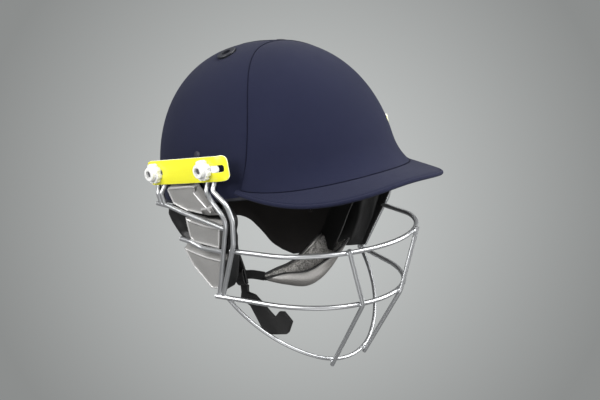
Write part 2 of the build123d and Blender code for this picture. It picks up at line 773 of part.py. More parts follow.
tail_top = -buckle_height / 2 - face_clearance
with BuildPart() as strap_tail:
    with BuildSketch(buckle_plane):
        with BuildLine():
            Polyline(*[(x * tail_length, tail_top + z * tail_drop) for x, z in tail_shares], close=True)
        make_face()
    extrude(amount=tail_fold_thickness / 2, both=True)
    fillet(faces().sort_by(Axis.Y)[0].edges() + faces().sort_by(Axis.Y)[-1].edges(), radius=tail_round)
save(strap_tail.part, "strap_tail")


def strap_anchor(route, flat, side):
    """Washer that holds a webbing leg to the liner, along its inner face."""
    top, below = Vector(*route[0]), Vector(*route[1])
    across = Vector(*flat).normalized()
    inward = (below - top).cross(across).normalized() * side
    seat = top + (below - top) * ((top.Z - anchor_z) / (top.Z - below.Z))
    seat += inward * (web_thickness / 2 + anchor_clearance)
    with BuildPart() as washer:
        with BuildSketch(Plane(origin=seat, x_dir=across, z_dir=inward)):
            Circle(anchor_radius)
        extrude(amount=anchor_thickness)
    return washer.part


save(strap_anchor(left_leg_route, left_leg_flat, 1), "strap_anchor_left")
save(strap_anchor(right_leg_route, right_leg_flat, -1), "strap_anchor_right")

chin_cup = trough(0, cup_wall)
save(chin_cup, "chin_cup")
save(trough(cup_wall + running_clearance, cup_wall + lining_wall), "cup_lining")
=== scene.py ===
"""Looks of the cricket helmet with its wire face guard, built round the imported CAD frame.

X points forward to the face, Y to the wearer's left and Z up, in metres.
"""

import json
import logging
import math
from collections.abc import Callable, Iterator, Sequence
from contextlib import contextmanager
from dataclasses import dataclass
from enum import Enum

import bpy
from mathutils import Matrix, Vector
from mathutils.kdtree import KDTree

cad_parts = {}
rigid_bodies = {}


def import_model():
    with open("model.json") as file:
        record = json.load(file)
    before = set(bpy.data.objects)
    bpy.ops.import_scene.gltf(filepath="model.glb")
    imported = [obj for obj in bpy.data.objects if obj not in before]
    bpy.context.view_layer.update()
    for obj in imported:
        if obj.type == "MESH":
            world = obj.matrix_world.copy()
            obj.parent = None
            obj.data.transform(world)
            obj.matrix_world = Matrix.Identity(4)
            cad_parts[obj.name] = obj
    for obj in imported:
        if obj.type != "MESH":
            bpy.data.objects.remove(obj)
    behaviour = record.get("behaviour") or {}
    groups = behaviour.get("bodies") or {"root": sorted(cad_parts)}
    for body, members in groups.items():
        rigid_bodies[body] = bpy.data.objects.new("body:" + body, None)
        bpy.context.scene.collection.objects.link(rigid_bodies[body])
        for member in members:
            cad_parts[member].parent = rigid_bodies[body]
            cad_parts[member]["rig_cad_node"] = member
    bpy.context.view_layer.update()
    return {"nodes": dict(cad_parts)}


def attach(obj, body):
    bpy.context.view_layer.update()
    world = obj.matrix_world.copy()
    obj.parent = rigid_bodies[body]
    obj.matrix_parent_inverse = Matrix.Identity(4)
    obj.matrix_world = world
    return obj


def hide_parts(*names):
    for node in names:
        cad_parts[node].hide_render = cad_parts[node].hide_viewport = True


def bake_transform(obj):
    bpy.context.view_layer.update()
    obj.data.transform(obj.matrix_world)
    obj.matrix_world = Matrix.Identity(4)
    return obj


log = logging.getLogger("helmet")

Colour = tuple[float, float, float]
Point = tuple[float, float, float]
Pair = tuple[float, float]
Piece = bpy.types.Object
Place = Callable[[float, float], Vector]

Y_AXIS = (0, 1, 0)
UPWARD = Vector((0, 0, 1))
CORNER_LIMIT = math.radians(50)


class Side(Enum):
    """Side of the wearer, with the sign of Y there."""

    LEFT = 1
    RIGHT = -1

    @property
    def word(self) -> str:
        """Ending of a piece's name on this side."""
        return self.name.lower()


class Surface(Enum):
    """How a surface is made, which picks its pattern."""

    CLOTH = "cloth"
    WEBBING = "webbing"
    FLEECE = "fleece"
    MOULDED = "moulded"
    PAINTED = "painted"
    DRAWN_METAL = "drawn metal"
    THREADED = "threaded"
    FOAM = "foam"


# ---- mesh tools


def deselect() -> None:
    """Leaves edit mode and deselects every object."""
    if bpy.context.object and bpy.context.object.mode != "OBJECT":
        bpy.ops.object.mode_set(mode="OBJECT")
    bpy.ops.object.select_all(action="DESELECT")


def pick(piece: Piece) -> None:
    """Selects one object and makes it the active one.

    Args:
        piece: The object to work on.
    """
    deselect()
    piece.select_set(True)
    bpy.context.view_layer.objects.active = piece


def named(name: str) -> Piece:
    """Names the primitive that was just added, and its mesh.

    Args:
        name: The piece's name.

    Returns:
        The object.
    """
    piece = bpy.context.active_object
    piece.name = name
    piece.data.name = name
    return piece


def finish_with(piece: Piece, kind: str, **settings: object) -> None:
    """Adds a modifier to a piece and applies it.

    Args:
        piece: The object to change.
        kind: Blender's name of the modifier's type.
        **settings: Values of the modifier's own properties.
    """
    pick(piece)
    modifier = piece.modifiers.new(kind.title(), kind)
    for key, value in settings.items():
        setattr(modifier, key, value)
    bpy.ops.object.modifier_apply(modifier=modifier.name)


@contextmanager
def editing(piece: Piece) -> Iterator[None]:
    """Puts a piece in edit mode with all of its mesh selected, and leaves edit mode afterwards.

    Args:
        piece: The object to work on.

    Yields:
        Nothing, while the piece is in edit mode.
    """
    pick(piece)
    bpy.ops.object.mode_set(mode="EDIT")
    bpy.ops.mesh.select_all(action="SELECT")
    yield
    bpy.ops.object.mode_set(mode="OBJECT")


def merge_doubles(piece: Piece, distance: float = 2e-5) -> None:
    """Merges the vertices of a piece that are closer than a distance, such as at a pole."""
    with editing(piece):
        bpy.ops.mesh.remove_doubles(threshold=distance)


def turn_outward(piece: Piece, inside: bool = False) -> None:
    """Points the faces of a closed piece outwards, or inwards for a room."""
    with editing(piece):
        bpy.ops.mesh.normals_make_consistent(inside=inside)


def round_edges(piece: Piece, width: float, limit: float = CORNER_LIMIT) -> None:
    """Rounds the edges of a piece that are sharper than a limit in radians."""
    finish_with(piece, "BEVEL", width=width, segments=2, limit_method="ANGLE", angle_limit=limit)


def subdivide(piece: Piece) -> None:
    """Rounds a padded piece with one level of subdivision."""
    finish_with(piece, "SUBSURF", levels=1, render_levels=1)


def smooth(piece: Piece, angle: float = 40.0) -> None:
    """Shades a piece smooth, with creases above an angle in degrees."""
    pick(piece)
    bpy.ops.object.shade_smooth_by_angle(angle=math.radians(angle))


def laid_grid(name: str, columns: int, rows: int, place: Place, size: Pair) -> Piece:
    """Lays a grid over a surface, with its own map in metres.

    Args:
        name: The piece's name.
        columns: Faces across.
        rows: Faces along.
        place: Gives the point for shares across and along, each from 0 to 1.
        size: Width and length of the map, in metres.

    Returns:
        The sheet, with no thickness yet.
    """
    deselect()
    bpy.ops.mesh.primitive_grid_add(x_subdivisions=columns, y_subdivisions=rows, size=1.0)
    sheet = named(name)
    for vertex in sheet.data.vertices:
        vertex.co = place(vertex.co.x + 0.5, vertex.co.y + 0.5)
    for corner in sheet.data.uv_layers.active.data:
        corner.uv = (corner.uv[0] * size[0], corner.uv[1] * size[1])
    return sheet


def grid_shares(columns: int, rows: int, share: Callable[[int, int], float]) -> list[float]:
    """Works out a share of the thickness for each vertex of a laid grid.

    Args:
        columns: Faces across.
        rows: Faces along.
        share: Gives the share for a column and a row of vertices.

    Returns:
        The shares in the order of the grid's vertices.
    """
    return [share(column, row) for row in range(rows + 1) for column in range(columns + 1)]


def cut_size(place: Place, steps: int = 64) -> Pair:
    """Sides of the cloth that covers a surface, from its longest arcs.

    Args:
        place: Gives a point for shares across and along.
        steps: Straight steps that an arc is measured in.

    Returns:
        The longest arc across and the longest arc along, in metres.
    """
    shares = [step / steps for step in range(steps + 1)]
    return (max(route_length([place(a, b) for a in shares]) for b in shares),
            max(route_length([place(a, b) for b in shares]) for a in shares))


def thicken(piece: Piece, thickness: float, offset: float,
            shares: Sequence[float] | None = None, least: float = 0.1) -> None:
    """Gives a sheet its wall.

    Args:
        piece: The sheet.
        thickness: Wall in metres.
        offset: -1 grows it against the normals, 1 along them, 0 both ways.
        shares: Share of the thickness at each vertex, for a wall that thins towards its edges.
        least: The smallest share there.
    """
    settings: dict[str, object] = {"thickness": thickness, "offset": offset, "use_even_offset": False}
    if shares is not None:
        group = piece.vertex_groups.new(name="fullness")
        for vertex, share in zip(piece.data.vertices, shares):
            group.add([vertex.index], share, "REPLACE")
        settings.update(vertex_group=group.name, thickness_vertex_group=least)
    finish_with(piece, "SOLIDIFY", **settings)
    piece.vertex_groups.clear()


def tube(name: str, points: Sequence[Vector], radius: float, closed: bool = False,
         sides: int = 3) -> Piece:
    """Round edge roll, welt or bead along a line.

    Args:
        name: The piece's name.
        points: The line.
        radius: Radius of the tube.
        closed: Whether the line is a loop.
        sides: Bevel resolution of the tube.

    Returns:
        The tube as a mesh.
    """
    deselect()
    curve = bpy.data.curves.new(name, "CURVE")
    curve.dimensions = "3D"
    line = curve.splines.new("NURBS")
    line.points.add(len(points) - 1)
    for place, point in zip(line.points, points):
        place.co = (*point, 1.0)
    line.order_u = 3
    line.use_endpoint_u = not closed
    line.use_cyclic_u = closed
    line.resolution_u = 4
    curve.bevel_depth = radius
    curve.bevel_resolution = sides
    curve.use_fill_caps = True
    piece = bpy.data.objects.new(name, curve)
    bpy.context.scene.collection.objects.link(piece)
    pick(piece)
    bpy.ops.object.convert(target="MESH")
    piece = named(name)
    smooth(piece, 60)
    return piece


def mirrored(left: Piece, name: str, crease: float) -> Piece:
    """Copies a piece of the wearer's left to the right, with a mesh of its own.

    Args:
        left: The piece on the left.
        name: Name of the copy.
        crease: Angle in degrees above which the copy keeps its creases.

    Returns:
        The copy.
    """
    deselect()
    right = left.copy()
    right.data = left.data.copy()
    right.name = right.data.name = name
    bpy.context.scene.collection.objects.link(right)
    right.data.transform(Matrix.Scale(-1, 4, Y_AXIS))
    turn_outward(right)
    smooth(right, crease)
    return right


def ring_solid(name: str, rings: Sequence[Sequence[Vector]], digits: int = 7) -> Piece:
    """Closed solid that is extruded from ring to ring, with a face at each end.

    Args:
        name: The piece's name.
        rings: Rings of equally many points each, from one end of the solid to the other.
        digits: Decimals by which a new vertex is matched with its point of the ring before.

    Returns:
        The solid.
    """
    count = len(rings[0])
    deselect()
    bpy.ops.mesh.primitive_circle_add(vertices=count, fill_type="NGON")
    piece = named(name)
    for vertex, point in zip(piece.data.vertices, rings[0]):
        vertex.co = point
    pick(piece)
    bpy.ops.object.mode_set(mode="EDIT")
    bpy.ops.mesh.select_all(action="SELECT")
    for before, after in zip(rings, rings[1:]):
        bpy.ops.mesh.extrude_region_move(TRANSFORM_OT_translate={"value": (0, 0, 0)})
        bpy.ops.object.mode_set(mode="OBJECT")
        where = {tuple(round(value, digits) for value in point): index for index, point in enumerate(before)}
        for vertex in [vertex for vertex in piece.data.vertices if vertex.select]:
            index = where.get(tuple(round(value, digits) for value in vertex.co))
            if index is None:
                index = min(range(count), key=lambda i: (before[i] - vertex.co).length)
            vertex.co = after[index]
        bpy.ops.object.mode_set(mode="EDIT")
    bpy.ops.object.mode_set(mode="OBJECT")
    turn_outward(piece)
    return piece


def divided(start: Vector, end: Vector, run: float) -> list[Vector]:
    """Points between two points, about a run apart, without the two themselves."""
    pieces = max(1, round((end - start).length / run))
    return [start.lerp(end, k / pieces) for k in range(1, pieces)]


def rounded_outline(corners: Sequence[Pair], radius: float, steps: int = 5, run: float = 0.004) -> list[Vector]:
    """Outline with its corners rounded and its straight runs divided.

    Args:
        corners: The corners in order.
        radius: Radius of each rounded corner.
        steps: Points on each rounded corner.
        run: Spacing of the points on the straight runs.

    Returns:
        Points of the outline, two numbers each.
    """
    sharpest, most = 0.2, 0.42
    line: list[Vector] = []
    count = len(corners)
    for index in range(count):
        before, here, after = (Vector(corners[(index + k) % count]) for k in (-1, 0, 1))
        back, ahead = before - here, after - here
        half = back.angle(ahead) / 2
        cut = min(radius / max(math.tan(half), sharpest), most * back.length, most * ahead.length)
        start, end = here + back.normalized() * cut, here + ahead.normalized() * cut
        if line:
            line.extend(divided(line[-1].copy(), start, run))
        for k in range(steps + 1):
            t = k / steps
            line.append(start.lerp(here, t).lerp(here.lerp(end, t), t))
    return line + divided(line[-1], line[0], run)


def outline_normals(outline: Sequence[Vector]) -> list[Vector]:
    """Directions out of an outline at each of its points.

    Args:
        outline: Points of a closed outline.

    Returns:
        A unit direction for each point.
    """
    area = sum(a.x * b.y - b.x * a.y for a, b in zip(outline, [*outline[1:], outline[0]]))
    sign = 1.0 if area > 0 else -1.0
    count = len(outline)
    found = []
    for index in range(count):
        along = outline[(index + 1) % count] - outline[index - 1]
        found.append(Vector((along.y, -along.x)).normalized() * sign)
    return found


def curved(before: object, start: object, end: object, after: object, t: float) -> object:
    """Number or point a share of the way along a smooth curve through four of them.

    Args:
        before: The one before the start.
        start: Where the share is 0.
        end: Where the share is 1.
        after: The one after the end.
        t: The share.

    Returns:
        The number or point there.
    """
    return 0.5 * (2 * start + (end - before) * t + (2 * before - 5 * start + 4 * end - after) * t ** 2
                  + (3 * start - before - 3 * end + after) * t ** 3)


def smooth_route(route: Sequence[Point], share: float) -> tuple[Vector, Vector]:
    """Point and direction on a smooth line through the points of a route.

    Args:
        route: Points of the route.
        share: Place on it, from 0 to 1, by equal spans.

    Returns:
        The point and the unit direction.
    """
    points = [Vector(point) for point in route]
    spans = len(points) - 1
    span = min(int(share * spans), spans - 1)
    t = share * spans - span
    p1, p2 = points[span], points[span + 1]
    p0 = points[span - 1] if span else p1 * 2 - p2
    p3 = points[span + 2] if span + 2 <= spans else p2 * 2 - p1
    along = 0.5 * ((p2 - p0) + 2 * (2 * p0 - 5 * p1 + 4 * p2 - p3) * t
                   + 3 * (3 * p1 - p0 - 3 * p2 + p3) * t ** 2)
    return curved(p0, p1, p2, p3, t), along.normalized()


def route_length(route: Sequence[Point]) -> float:
    """Length of a route along its straight runs."""
    return sum((Vector(b) - Vector(a)).length for a, b in zip(route, route[1:]))


def ease(value: float) -> float:
    """Smooth step of a value between 0 and 1."""
    value = min(max(value, 0.0), 1.0)
    return value * value * (3 - 2 * value)


# ---- finishes


@dataclass
class Wiring:
    """Adds and joins the nodes of one node tree."""

    tree: bpy.types.NodeTree

    def add(self, kind: str, inputs: dict[str | int, object] | None = None,
            **settings: object) -> bpy.types.Node:
        """Adds a node.

        Args:
            kind: Blender's name of the node's type.
            inputs: A value or a socket for each input that is given.
            **settings: The node's own properties.

        Returns:
            The node.
        """
        node = self.tree.nodes.new(kind)
        for key, value in settings.items():
            setattr(node, key, value)
        for key, value in (inputs or {}).items():
            if isinstance(value, bpy.types.NodeSocket):
                self.tree.links.new(value, node.inputs[key])
            else:
                node.inputs[key].default_value = value
        return node

    def math(self, operation: str, *values: object, clamp: bool = False) -> bpy.types.NodeSocket:
        """Result of a sum on values or sockets."""
        node = self.add("ShaderNodeMath", dict(enumerate(values)), operation=operation, use_clamp=clamp)
        return node.outputs[0]

    def mix(self, factor: object, first: object, second: object) -> bpy.types.NodeSocket:
        """Colour between two colours."""
        node = self.add("ShaderNodeMix", {0: factor, 6: first, 7: second}, data_type="RGBA")
        return node.outputs[2]

    def ramp(self, value: object, low: float, high: float) -> bpy.types.NodeSocket:
        """Value spread from a low and high limit to 0 and 1."""
        node = self.add("ShaderNodeMapRange", {0: value, 1: low, 2: high}, interpolation_type="SMOOTHSTEP")
        return node.outputs[0]


class SharedPatterns:
    """Node groups that several finishes use, each built once."""

    def __init__(self) -> None:
        """Starts with no group built."""
        self.built: dict[str, bpy.types.NodeTree] = {}

    def open(self, name: str, numbers: Sequence[str], results: Sequence[str]) -> Wiring:
        """Opens a new group with a vector input, number inputs and number outputs.

        Args:
            name: The group's name.
            numbers: Names of its number inputs.
            results: Names of its number outputs.

        Returns:
            The new group's wiring.
        """
        tree = bpy.data.node_groups.new(name, "ShaderNodeTree")
        tree.interface.new_socket("Vector", in_out="INPUT", socket_type="NodeSocketVector")
        for number in numbers:
            tree.interface.new_socket(number, in_out="INPUT", socket_type="NodeSocketFloat")
        for result in results:
            tree.interface.new_socket(result, in_out="OUTPUT", socket_type="NodeSocketFloat")
        self.built[name] = tree
        return Wiring(tree)

    def tone(self) -> bpy.types.NodeTree:
        """Slow cloudy variation, as in dye, handling and dust.

        Returns:
            The group, built the first time that it is asked for.
        """
        if "tone" not in self.built:
            wiring = self.open("tone", ["Scale"], ["Shade", "Dust"])
            entry = wiring.add("NodeGroupInput")
            reads = {"Vector": entry.outputs["Vector"], "Scale": entry.outputs["Scale"]}
            noise = wiring.add("ShaderNodeTexNoise", {**reads, "Detail": 5.0, "Roughness": 0.6})
            fine = wiring.math("MULTIPLY", entry.outputs["Scale"], 9.0)
            specks = wiring.add("ShaderNodeTexNoise", {**reads, "Scale": fine, "Detail": 3.0, "Roughness": 0.7})
            shade = wiring.ramp(noise.outputs[0], 0.3, 0.7)
            dust = wiring.math("MULTIPLY", wiring.ramp(specks.outputs[0], 0.52, 0.74), shade)
            wiring.add("NodeGroupOutput", {"Shade": shade, "Dust": dust})
        return self.built["tone"]

    def weave(self) -> bpy.types.NodeTree:
        """Crossing threads on a map in metres, with a diagonal twill.

        Returns:
            The group, built the first time that it is asked for.
        """
        if "weave" not in self.built:
            wiring = self.open("weave", ["Threads", "Twill"], ["Height", "Thread"])
            entry = wiring.add("NodeGroupInput")
            parts = wiring.add("ShaderNodeSeparateXYZ", {0: entry.outputs["Vector"]})
            turns = wiring.math("MULTIPLY", entry.outputs["Threads"], 2 * math.pi)
            across = wiring.math("MULTIPLY", parts.outputs[0], turns)
            along = wiring.math("MULTIPLY", parts.outputs[1], turns)
            plain = wiring.math("MULTIPLY", wiring.math("SINE", across), wiring.math("SINE", along))
            slant = wiring.math("SINE", wiring.math("ADD", across, along))
            twill = wiring.math("MULTIPLY", slant, entry.outputs["Twill"])
            raw = wiring.math("ADD", plain, twill)
            height = wiring.math("MULTIPLY_ADD", raw, 0.25, 0.5)
            thread = wiring.ramp(height, 0.3, 0.75)
            wiring.add("NodeGroupOutput", {"Height": height, "Thread": thread})
        return self.built["weave"]

    def grain(self) -> bpy.types.NodeTree:
        """Fine pebbled grain of a moulded or napped surface.

        Returns:
            The group, built the first time that it is asked for.
        """
        if "grain" not in self.built:
            wiring = self.open("grain", ["Scale", "Cells"], ["Height", "Pits"])
            entry = wiring.add("NodeGroupInput")
            reads = {"Vector": entry.outputs["Vector"], "Scale": entry.outputs["Scale"]}
            noise = wiring.add("ShaderNodeTexNoise", {**reads, "Detail": 4.0})
            cells = wiring.add("ShaderNodeTexVoronoi", reads)
            distance = wiring.math("MULTIPLY", cells.outputs["Distance"], entry.outputs["Cells"])
            height = wiring.math("ADD", noise.outputs[0], distance)
            pits = wiring.ramp(noise.outputs[0], 0.42, 0.62)
            wiring.add("NodeGroupOutput", {"Height": height, "Pits": pits})
        return self.built["grain"]

    def scratches(self) -> bpy.types.NodeTree:
        """Thin streaks along the first axis of the vector, for scratches and drawing marks.

        Returns:
            The group, built the first time that it is asked for.
        """
        if "scratches" not in self.built:
            wiring = self.open("scratches", ["Scale", "Stretch"], ["Streaks", "Scratches"])
            entry = wiring.add("NodeGroupInput")
            thin = wiring.math("DIVIDE", 1.0, entry.outputs["Stretch"])
            factor = wiring.add("ShaderNodeCombineXYZ", {0: thin, 1: 1.0, 2: 1.0})
            stretched = wiring.add("ShaderNodeVectorMath", {0: entry.outputs["Vector"], 1: factor.outputs[0]},
                                   operation="MULTIPLY")
            noise = wiring.add("ShaderNodeTexNoise", {"Vector": stretched.outputs[0],
                                                      "Scale": entry.outputs["Scale"], "Detail": 6.0,
                                                      "Roughness": 0.65})
            scratches = wiring.ramp(noise.outputs[0], 0.62, 0.7)
            wiring.add("NodeGroupOutput", {"Streaks": noise.outputs[0], "Scratches": scratches})
        return self.built["scratches"]

    def place(self, wiring: Wiring, tree: bpy.types.NodeTree, vector: object,
              **numbers: float) -> bpy.types.Node:
        """Puts a group into a material with its own values.

        Args:
            wiring: The material's wiring.
            tree: The group.
            vector: The coordinates that it reads.
            **numbers: Values of its inputs.

        Returns:
            The group's node.
        """
        return wiring.add("ShaderNodeGroup", {"Vector": vector, **numbers}, node_tree=tree)


PATTERNS = SharedPatterns()
STREAK_STRETCH = 12.0
CELLS = {Surface.FOAM: 1.2, Surface.FLEECE: 0.8}
PLAIN_CELLS = 0.35
MASK_SHARE = 0.45
TONE_SHARE = 0.55
FLAT_FACE = (0.30, 0.60)
RUBBED_SHARE = 0.25
BUMP_STRENGTH = 0.6
GLOSS = {"Coat Roughness": 0.2, "Sheen Roughness": 0.5}


@dataclass(frozen=True)
class Finish:
    """One material: its colours, its gloss and the detail of its surface."""

    name: str
    slot: str
    surface: Surface
    colour: Colour
    second: Colour
    roughness: float
    pattern: float
    relief: float
    metallic: float = 0.0
    coat: float = 0.0
    sheen: float = 0.0
    tone_scale: float = 14.0
    worn: Colour | None = None
    twill: float = 0.6
    spread: float = 0.12
    specular: float = 0.5

    def material(self) -> bpy.types.Material:
        """The material, built the first time that it is asked for."""
        found = bpy.data.materials.get(f"{self.name}_finish")
        return found or self._build()

    def _pattern(self, wiring: Wiring, objects: object, mapped: object) -> tuple[object, object]:
        """Height and mask of the finish's own pattern.

        Args:
            wiring: The material's wiring.
            objects: Object coordinates.
            mapped: The piece's own map.

        Returns:
            The height and the mask.
        """
        if self.surface in (Surface.CLOTH, Surface.WEBBING):
            node = PATTERNS.place(wiring, PATTERNS.weave(), mapped, Threads=self.pattern, Twill=self.twill)
            return node.outputs["Height"], node.outputs["Thread"]
        if self.surface in (Surface.DRAWN_METAL, Surface.PAINTED):
            node = PATTERNS.place(wiring, PATTERNS.scratches(), objects, Scale=self.pattern,
                                  Stretch=STREAK_STRETCH)
            return node.outputs["Streaks"], node.outputs["Scratches"]
        if self.surface is Surface.THREADED:
            parts = wiring.add("ShaderNodeSeparateXYZ", {0: objects})
            turns = wiring.math("MULTIPLY", parts.outputs[1], self.pattern * 2 * math.pi)
            ridge = wiring.math("SINE", turns)
            return ridge, wiring.ramp(ridge, -0.6, 0.6)
        cells = CELLS.get(self.surface, PLAIN_CELLS)
        node = PATTERNS.place(wiring, PATTERNS.grain(), objects, Scale=self.pattern, Cells=cells)
        return node.outputs["Height"], node.outputs["Pits"]

    def _build(self) -> bpy.types.Material:
        """Builds the material's nodes.

        Returns:
            The material.
        """
        material = bpy.data.materials.new(f"{self.name}_finish")
        material.use_nodes = True
        wiring = Wiring(material.node_tree)
        shader = material.node_tree.nodes["Principled BSDF"]
        for socket, value in {"Metallic": self.metallic, "Coat Weight": self.coat, "Sheen Weight": self.sheen,
                              "Specular IOR Level": self.specular, **GLOSS}.items():
            shader.inputs[socket].default_value = value
        spots = wiring.add("ShaderNodeTexCoord")
        objects, mapped = spots.outputs["Object"], spots.outputs["UV"]
        tone = PATTERNS.place(wiring, PATTERNS.tone(), objects, Scale=self.tone_scale)
        height, mask = self._pattern(wiring, objects, mapped)
        shade = wiring.math("MULTIPLY", tone.outputs["Shade"], TONE_SHARE)
        blend = wiring.math("MULTIPLY_ADD", mask, MASK_SHARE, shade)
        colour = wiring.mix(blend, (*self.colour, 1.0), (*self.second, 1.0))
        if self.worn is not None:
            normals = wiring.add("ShaderNodeSeparateXYZ", {0: spots.outputs["Normal"]})
            flat = wiring.math("ABSOLUTE", normals.outputs[1])
            edge = wiring.math("SUBTRACT", 1.0, wiring.ramp(flat, *FLAT_FACE), clamp=True)
            rubbed = wiring.math("MAXIMUM", edge, wiring.math("MULTIPLY", mask, RUBBED_SHARE))
            colour = wiring.mix(rubbed, colour, (*self.worn, 1.0))
        wiring.tree.links.new(colour, shader.inputs["Base Color"])
        rough = wiring.math("MULTIPLY_ADD", tone.outputs["Dust"], self.spread, self.roughness)
        rough = wiring.math("MULTIPLY_ADD", mask, self.spread * 0.5, rough, clamp=True)
        wiring.tree.links.new(rough, shader.inputs["Roughness"])
        bump = wiring.add("ShaderNodeBump", {"Height": height, "Strength": BUMP_STRENGTH,
                                             "Distance": self.relief})
        wiring.tree.links.new(bump.outputs[0], shader.inputs["Normal"])
        return material

    def dress(self, piece: Piece) -> Piece:
        """Puts the finish on a piece.

        Args:
            piece: A new piece or a CAD node.

        Returns:
            The piece.
        """
        if piece.material_slots:
            for holder in piece.material_slots:
                holder.material = self.material()
        else:
            piece.data.materials.append(self.material())
        "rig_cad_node" not in piece
        return piece


NAVY = Finish(
    "navy_cloth", "navy_cloth", Surface.CLOTH, (0.0100, 0.0118, 0.0290), (0.0128, 0.0148, 0.0355), 0.85,
    1500.0, 0.00012, sheen=0.04, tone_scale=11.0, specular=0.12)
NAVY_ROLL = Finish(
    "navy_roll", "piping_cloth", Surface.CLOTH, (0.0095, 0.0110, 0.0270), (0.0135, 0.0155, 0.0370), 0.85,
    1300.0, 0.00012, sheen=0.04, tone_scale=20.0, specular=0.12)
# Seam welts: a darker navy, painted shade of the gap along each seam
NAVY_WELT_SHADE = Finish(
    "navy_welt_painted_shade", "navy_cloth", Surface.CLOTH, (0.0040, 0.0045, 0.0130), (0.0060, 0.0068, 0.0185), 0.85,
    1300.0, 0.0001, tone_scale=30.0, specular=0.1)
SHELL = Finish(
    "shell_plastic", "shell_plastic", Surface.MOULDED, (0.010, 0.010, 0.011), (0.018, 0.018, 0.019), 0.5,
    900.0, 0.0001)
EDGE = Finish(
    "edge_rubber", "edge_rubber", Surface.MOULDED, (0.006, 0.007, 0.012), (0.012, 0.013, 0.020), 0.6,
    1200.0, 0.0001)
EYELET = Finish(
    "eyelet_plastic", "eyelet_plastic", Surface.MOULDED, (0.008, 0.009, 0.014), (0.014, 0.015, 0.023), 0.40,
    800.0, 0.00006, coat=0.1)
APRON = Finish(
    "apron_cloth", "apron_cloth", Surface.CLOTH, (0.0210, 0.0180, 0.0168), (0.0370, 0.0325, 0.0305), 0.75,
    900.0, 0.0002, sheen=0.10, tone_scale=18.0, twill=0.1, specular=0.3)
BINDING = Finish(
    "apron_binding", "apron_cloth", Surface.WEBBING, (0.010, 0.010, 0.010), (0.019, 0.018, 0.018), 0.7,
    900.0, 0.0002)
STUD = Finish(
    "stud_metal", "stud_metal", Surface.DRAWN_METAL, (0.75, 0.75, 0.74), (0.6, 0.6, 0.6), 0.22, 500.0,
    0.00002, metallic=1.0)
PLATE = Finish(
    "yellow_plate", "yellow_plate", Surface.PAINTED, (0.88, 0.85, 0.032), (0.83, 0.79, 0.028), 0.34, 260.0,
    0.00002, coat=0.3, tone_scale=25.0, worn=(0.93, 0.93, 0.86))
MOUNT = Finish(
    "mount_plastic", "mount_plastic", Surface.MOULDED, (0.010, 0.010, 0.011), (0.018, 0.018, 0.019), 0.45,
    900.0, 0.00006)
RIVET = Finish(
    "rivet_cap", "rivet_cap", Surface.MOULDED, (0.0085, 0.0095, 0.0210), (0.0120, 0.0132, 0.0280), 0.55,
    900.0, 0.00004, coat=0.05)
ZINC = Finish(
    "zinc_wire", "zinc_wire", Surface.DRAWN_METAL, (0.66, 0.67, 0.68), (0.54, 0.55, 0.56), 0.36, 420.0,
    0.000002, metallic=0.92, tone_scale=30.0, spread=0.02)
PAD = Finish(
    "pad_plastic", "pad_plastic", Surface.MOULDED, (0.300, 0.295, 0.286), (0.365, 0.358, 0.348), 0.38,
    1100.0, 0.00003, metallic=0.25, coat=0.12, tone_scale=22.0)
# Ridge of the ear pads: a lighter copy of the pad finish, a painted highlight along the rounded ridge
PAD_RIDGE_HIGHLIGHT = Finish(
    "pad_ridge_painted_highlight", "pad_plastic", Surface.MOULDED, (0.58, 0.57, 0.56), (0.70, 0.69, 0.68), 0.28, 1100.0,
    0.00002, metallic=0.35, coat=0.3, tone_scale=30.0)
# Flanks of the ear pads: a darker copy of the pad finish, painted shade on the bevels that face forward or back
PAD_FLANK_SHADE = Finish(
    "pad_flank_painted_shade", "pad_plastic", Surface.MOULDED, (0.150, 0.146, 0.140), (0.210, 0.205, 0.198), 0.42, 1100.0,
    0.00003, metallic=0.25, coat=0.1, tone_scale=22.0)
PAD_BACK = Finish(
    "pad_back", "pad_plastic", Surface.FOAM, (0.008, 0.008, 0.008), (0.016, 0.015, 0.015), 0.8, 700.0,
    0.0002)
CUSHION = Finish(
    "ear_cushion", "pad_cloth", Surface.MOULDED, (0.0060, 0.0060, 0.0062), (0.0120, 0.0118, 0.0115), 0.46,
    1000.0, 0.00012, coat=0.05, tone_scale=40.0, specular=0.4)
WHITE = Finish(
    "white_plastic", "white_plastic", Surface.MOULDED, (0.88, 0.88, 0.86), (0.82, 0.82, 0.80), 0.32, 700.0,
    0.00004, coat=0.2, tone_scale=60.0)
BOLT = Finish(
    "bolt_metal", "bolt_metal", Surface.THREADED, (0.42, 0.42, 0.44), (0.12, 0.12, 0.13), 0.34, 1250.0,
    0.0003, metallic=1.0)
WEBBING = Finish(
    "webbing", "webbing", Surface.WEBBING, (0.0055, 0.0055, 0.0055), (0.0160, 0.0155, 0.0155), 0.6, 520.0,
    0.0004, sheen=0.05, tone_scale=40.0, specular=0.35)
CUP = Finish(
    "cup_plastic", "cup_plastic", Surface.MOULDED, (0.150, 0.144, 0.136), (0.205, 0.197, 0.186), 0.36,
    1000.0, 0.00004, metallic=0.25, coat=0.15, tone_scale=24.0)
FLEECE = Finish(
    "fleece", "fleece", Surface.FLEECE, (0.050, 0.048, 0.045), (0.56, 0.54, 0.51), 0.95, 900.0, 0.0012,
    sheen=0.2, tone_scale=260.0)
FOAM = Finish(
    "foam", "foam", Surface.FOAM, (0.008, 0.008, 0.0085), (0.018, 0.018, 0.019), 0.85, 320.0, 0.0004)
PAD_CLOTH = Finish(
    "pad_cloth", "pad_cloth", Surface.CLOTH, (0.008, 0.008, 0.009), (0.018, 0.018, 0.020), 0.85, 1000.0,
    0.0003, sheen=0.1, twill=0.1)


# ---- forms shared by the pieces


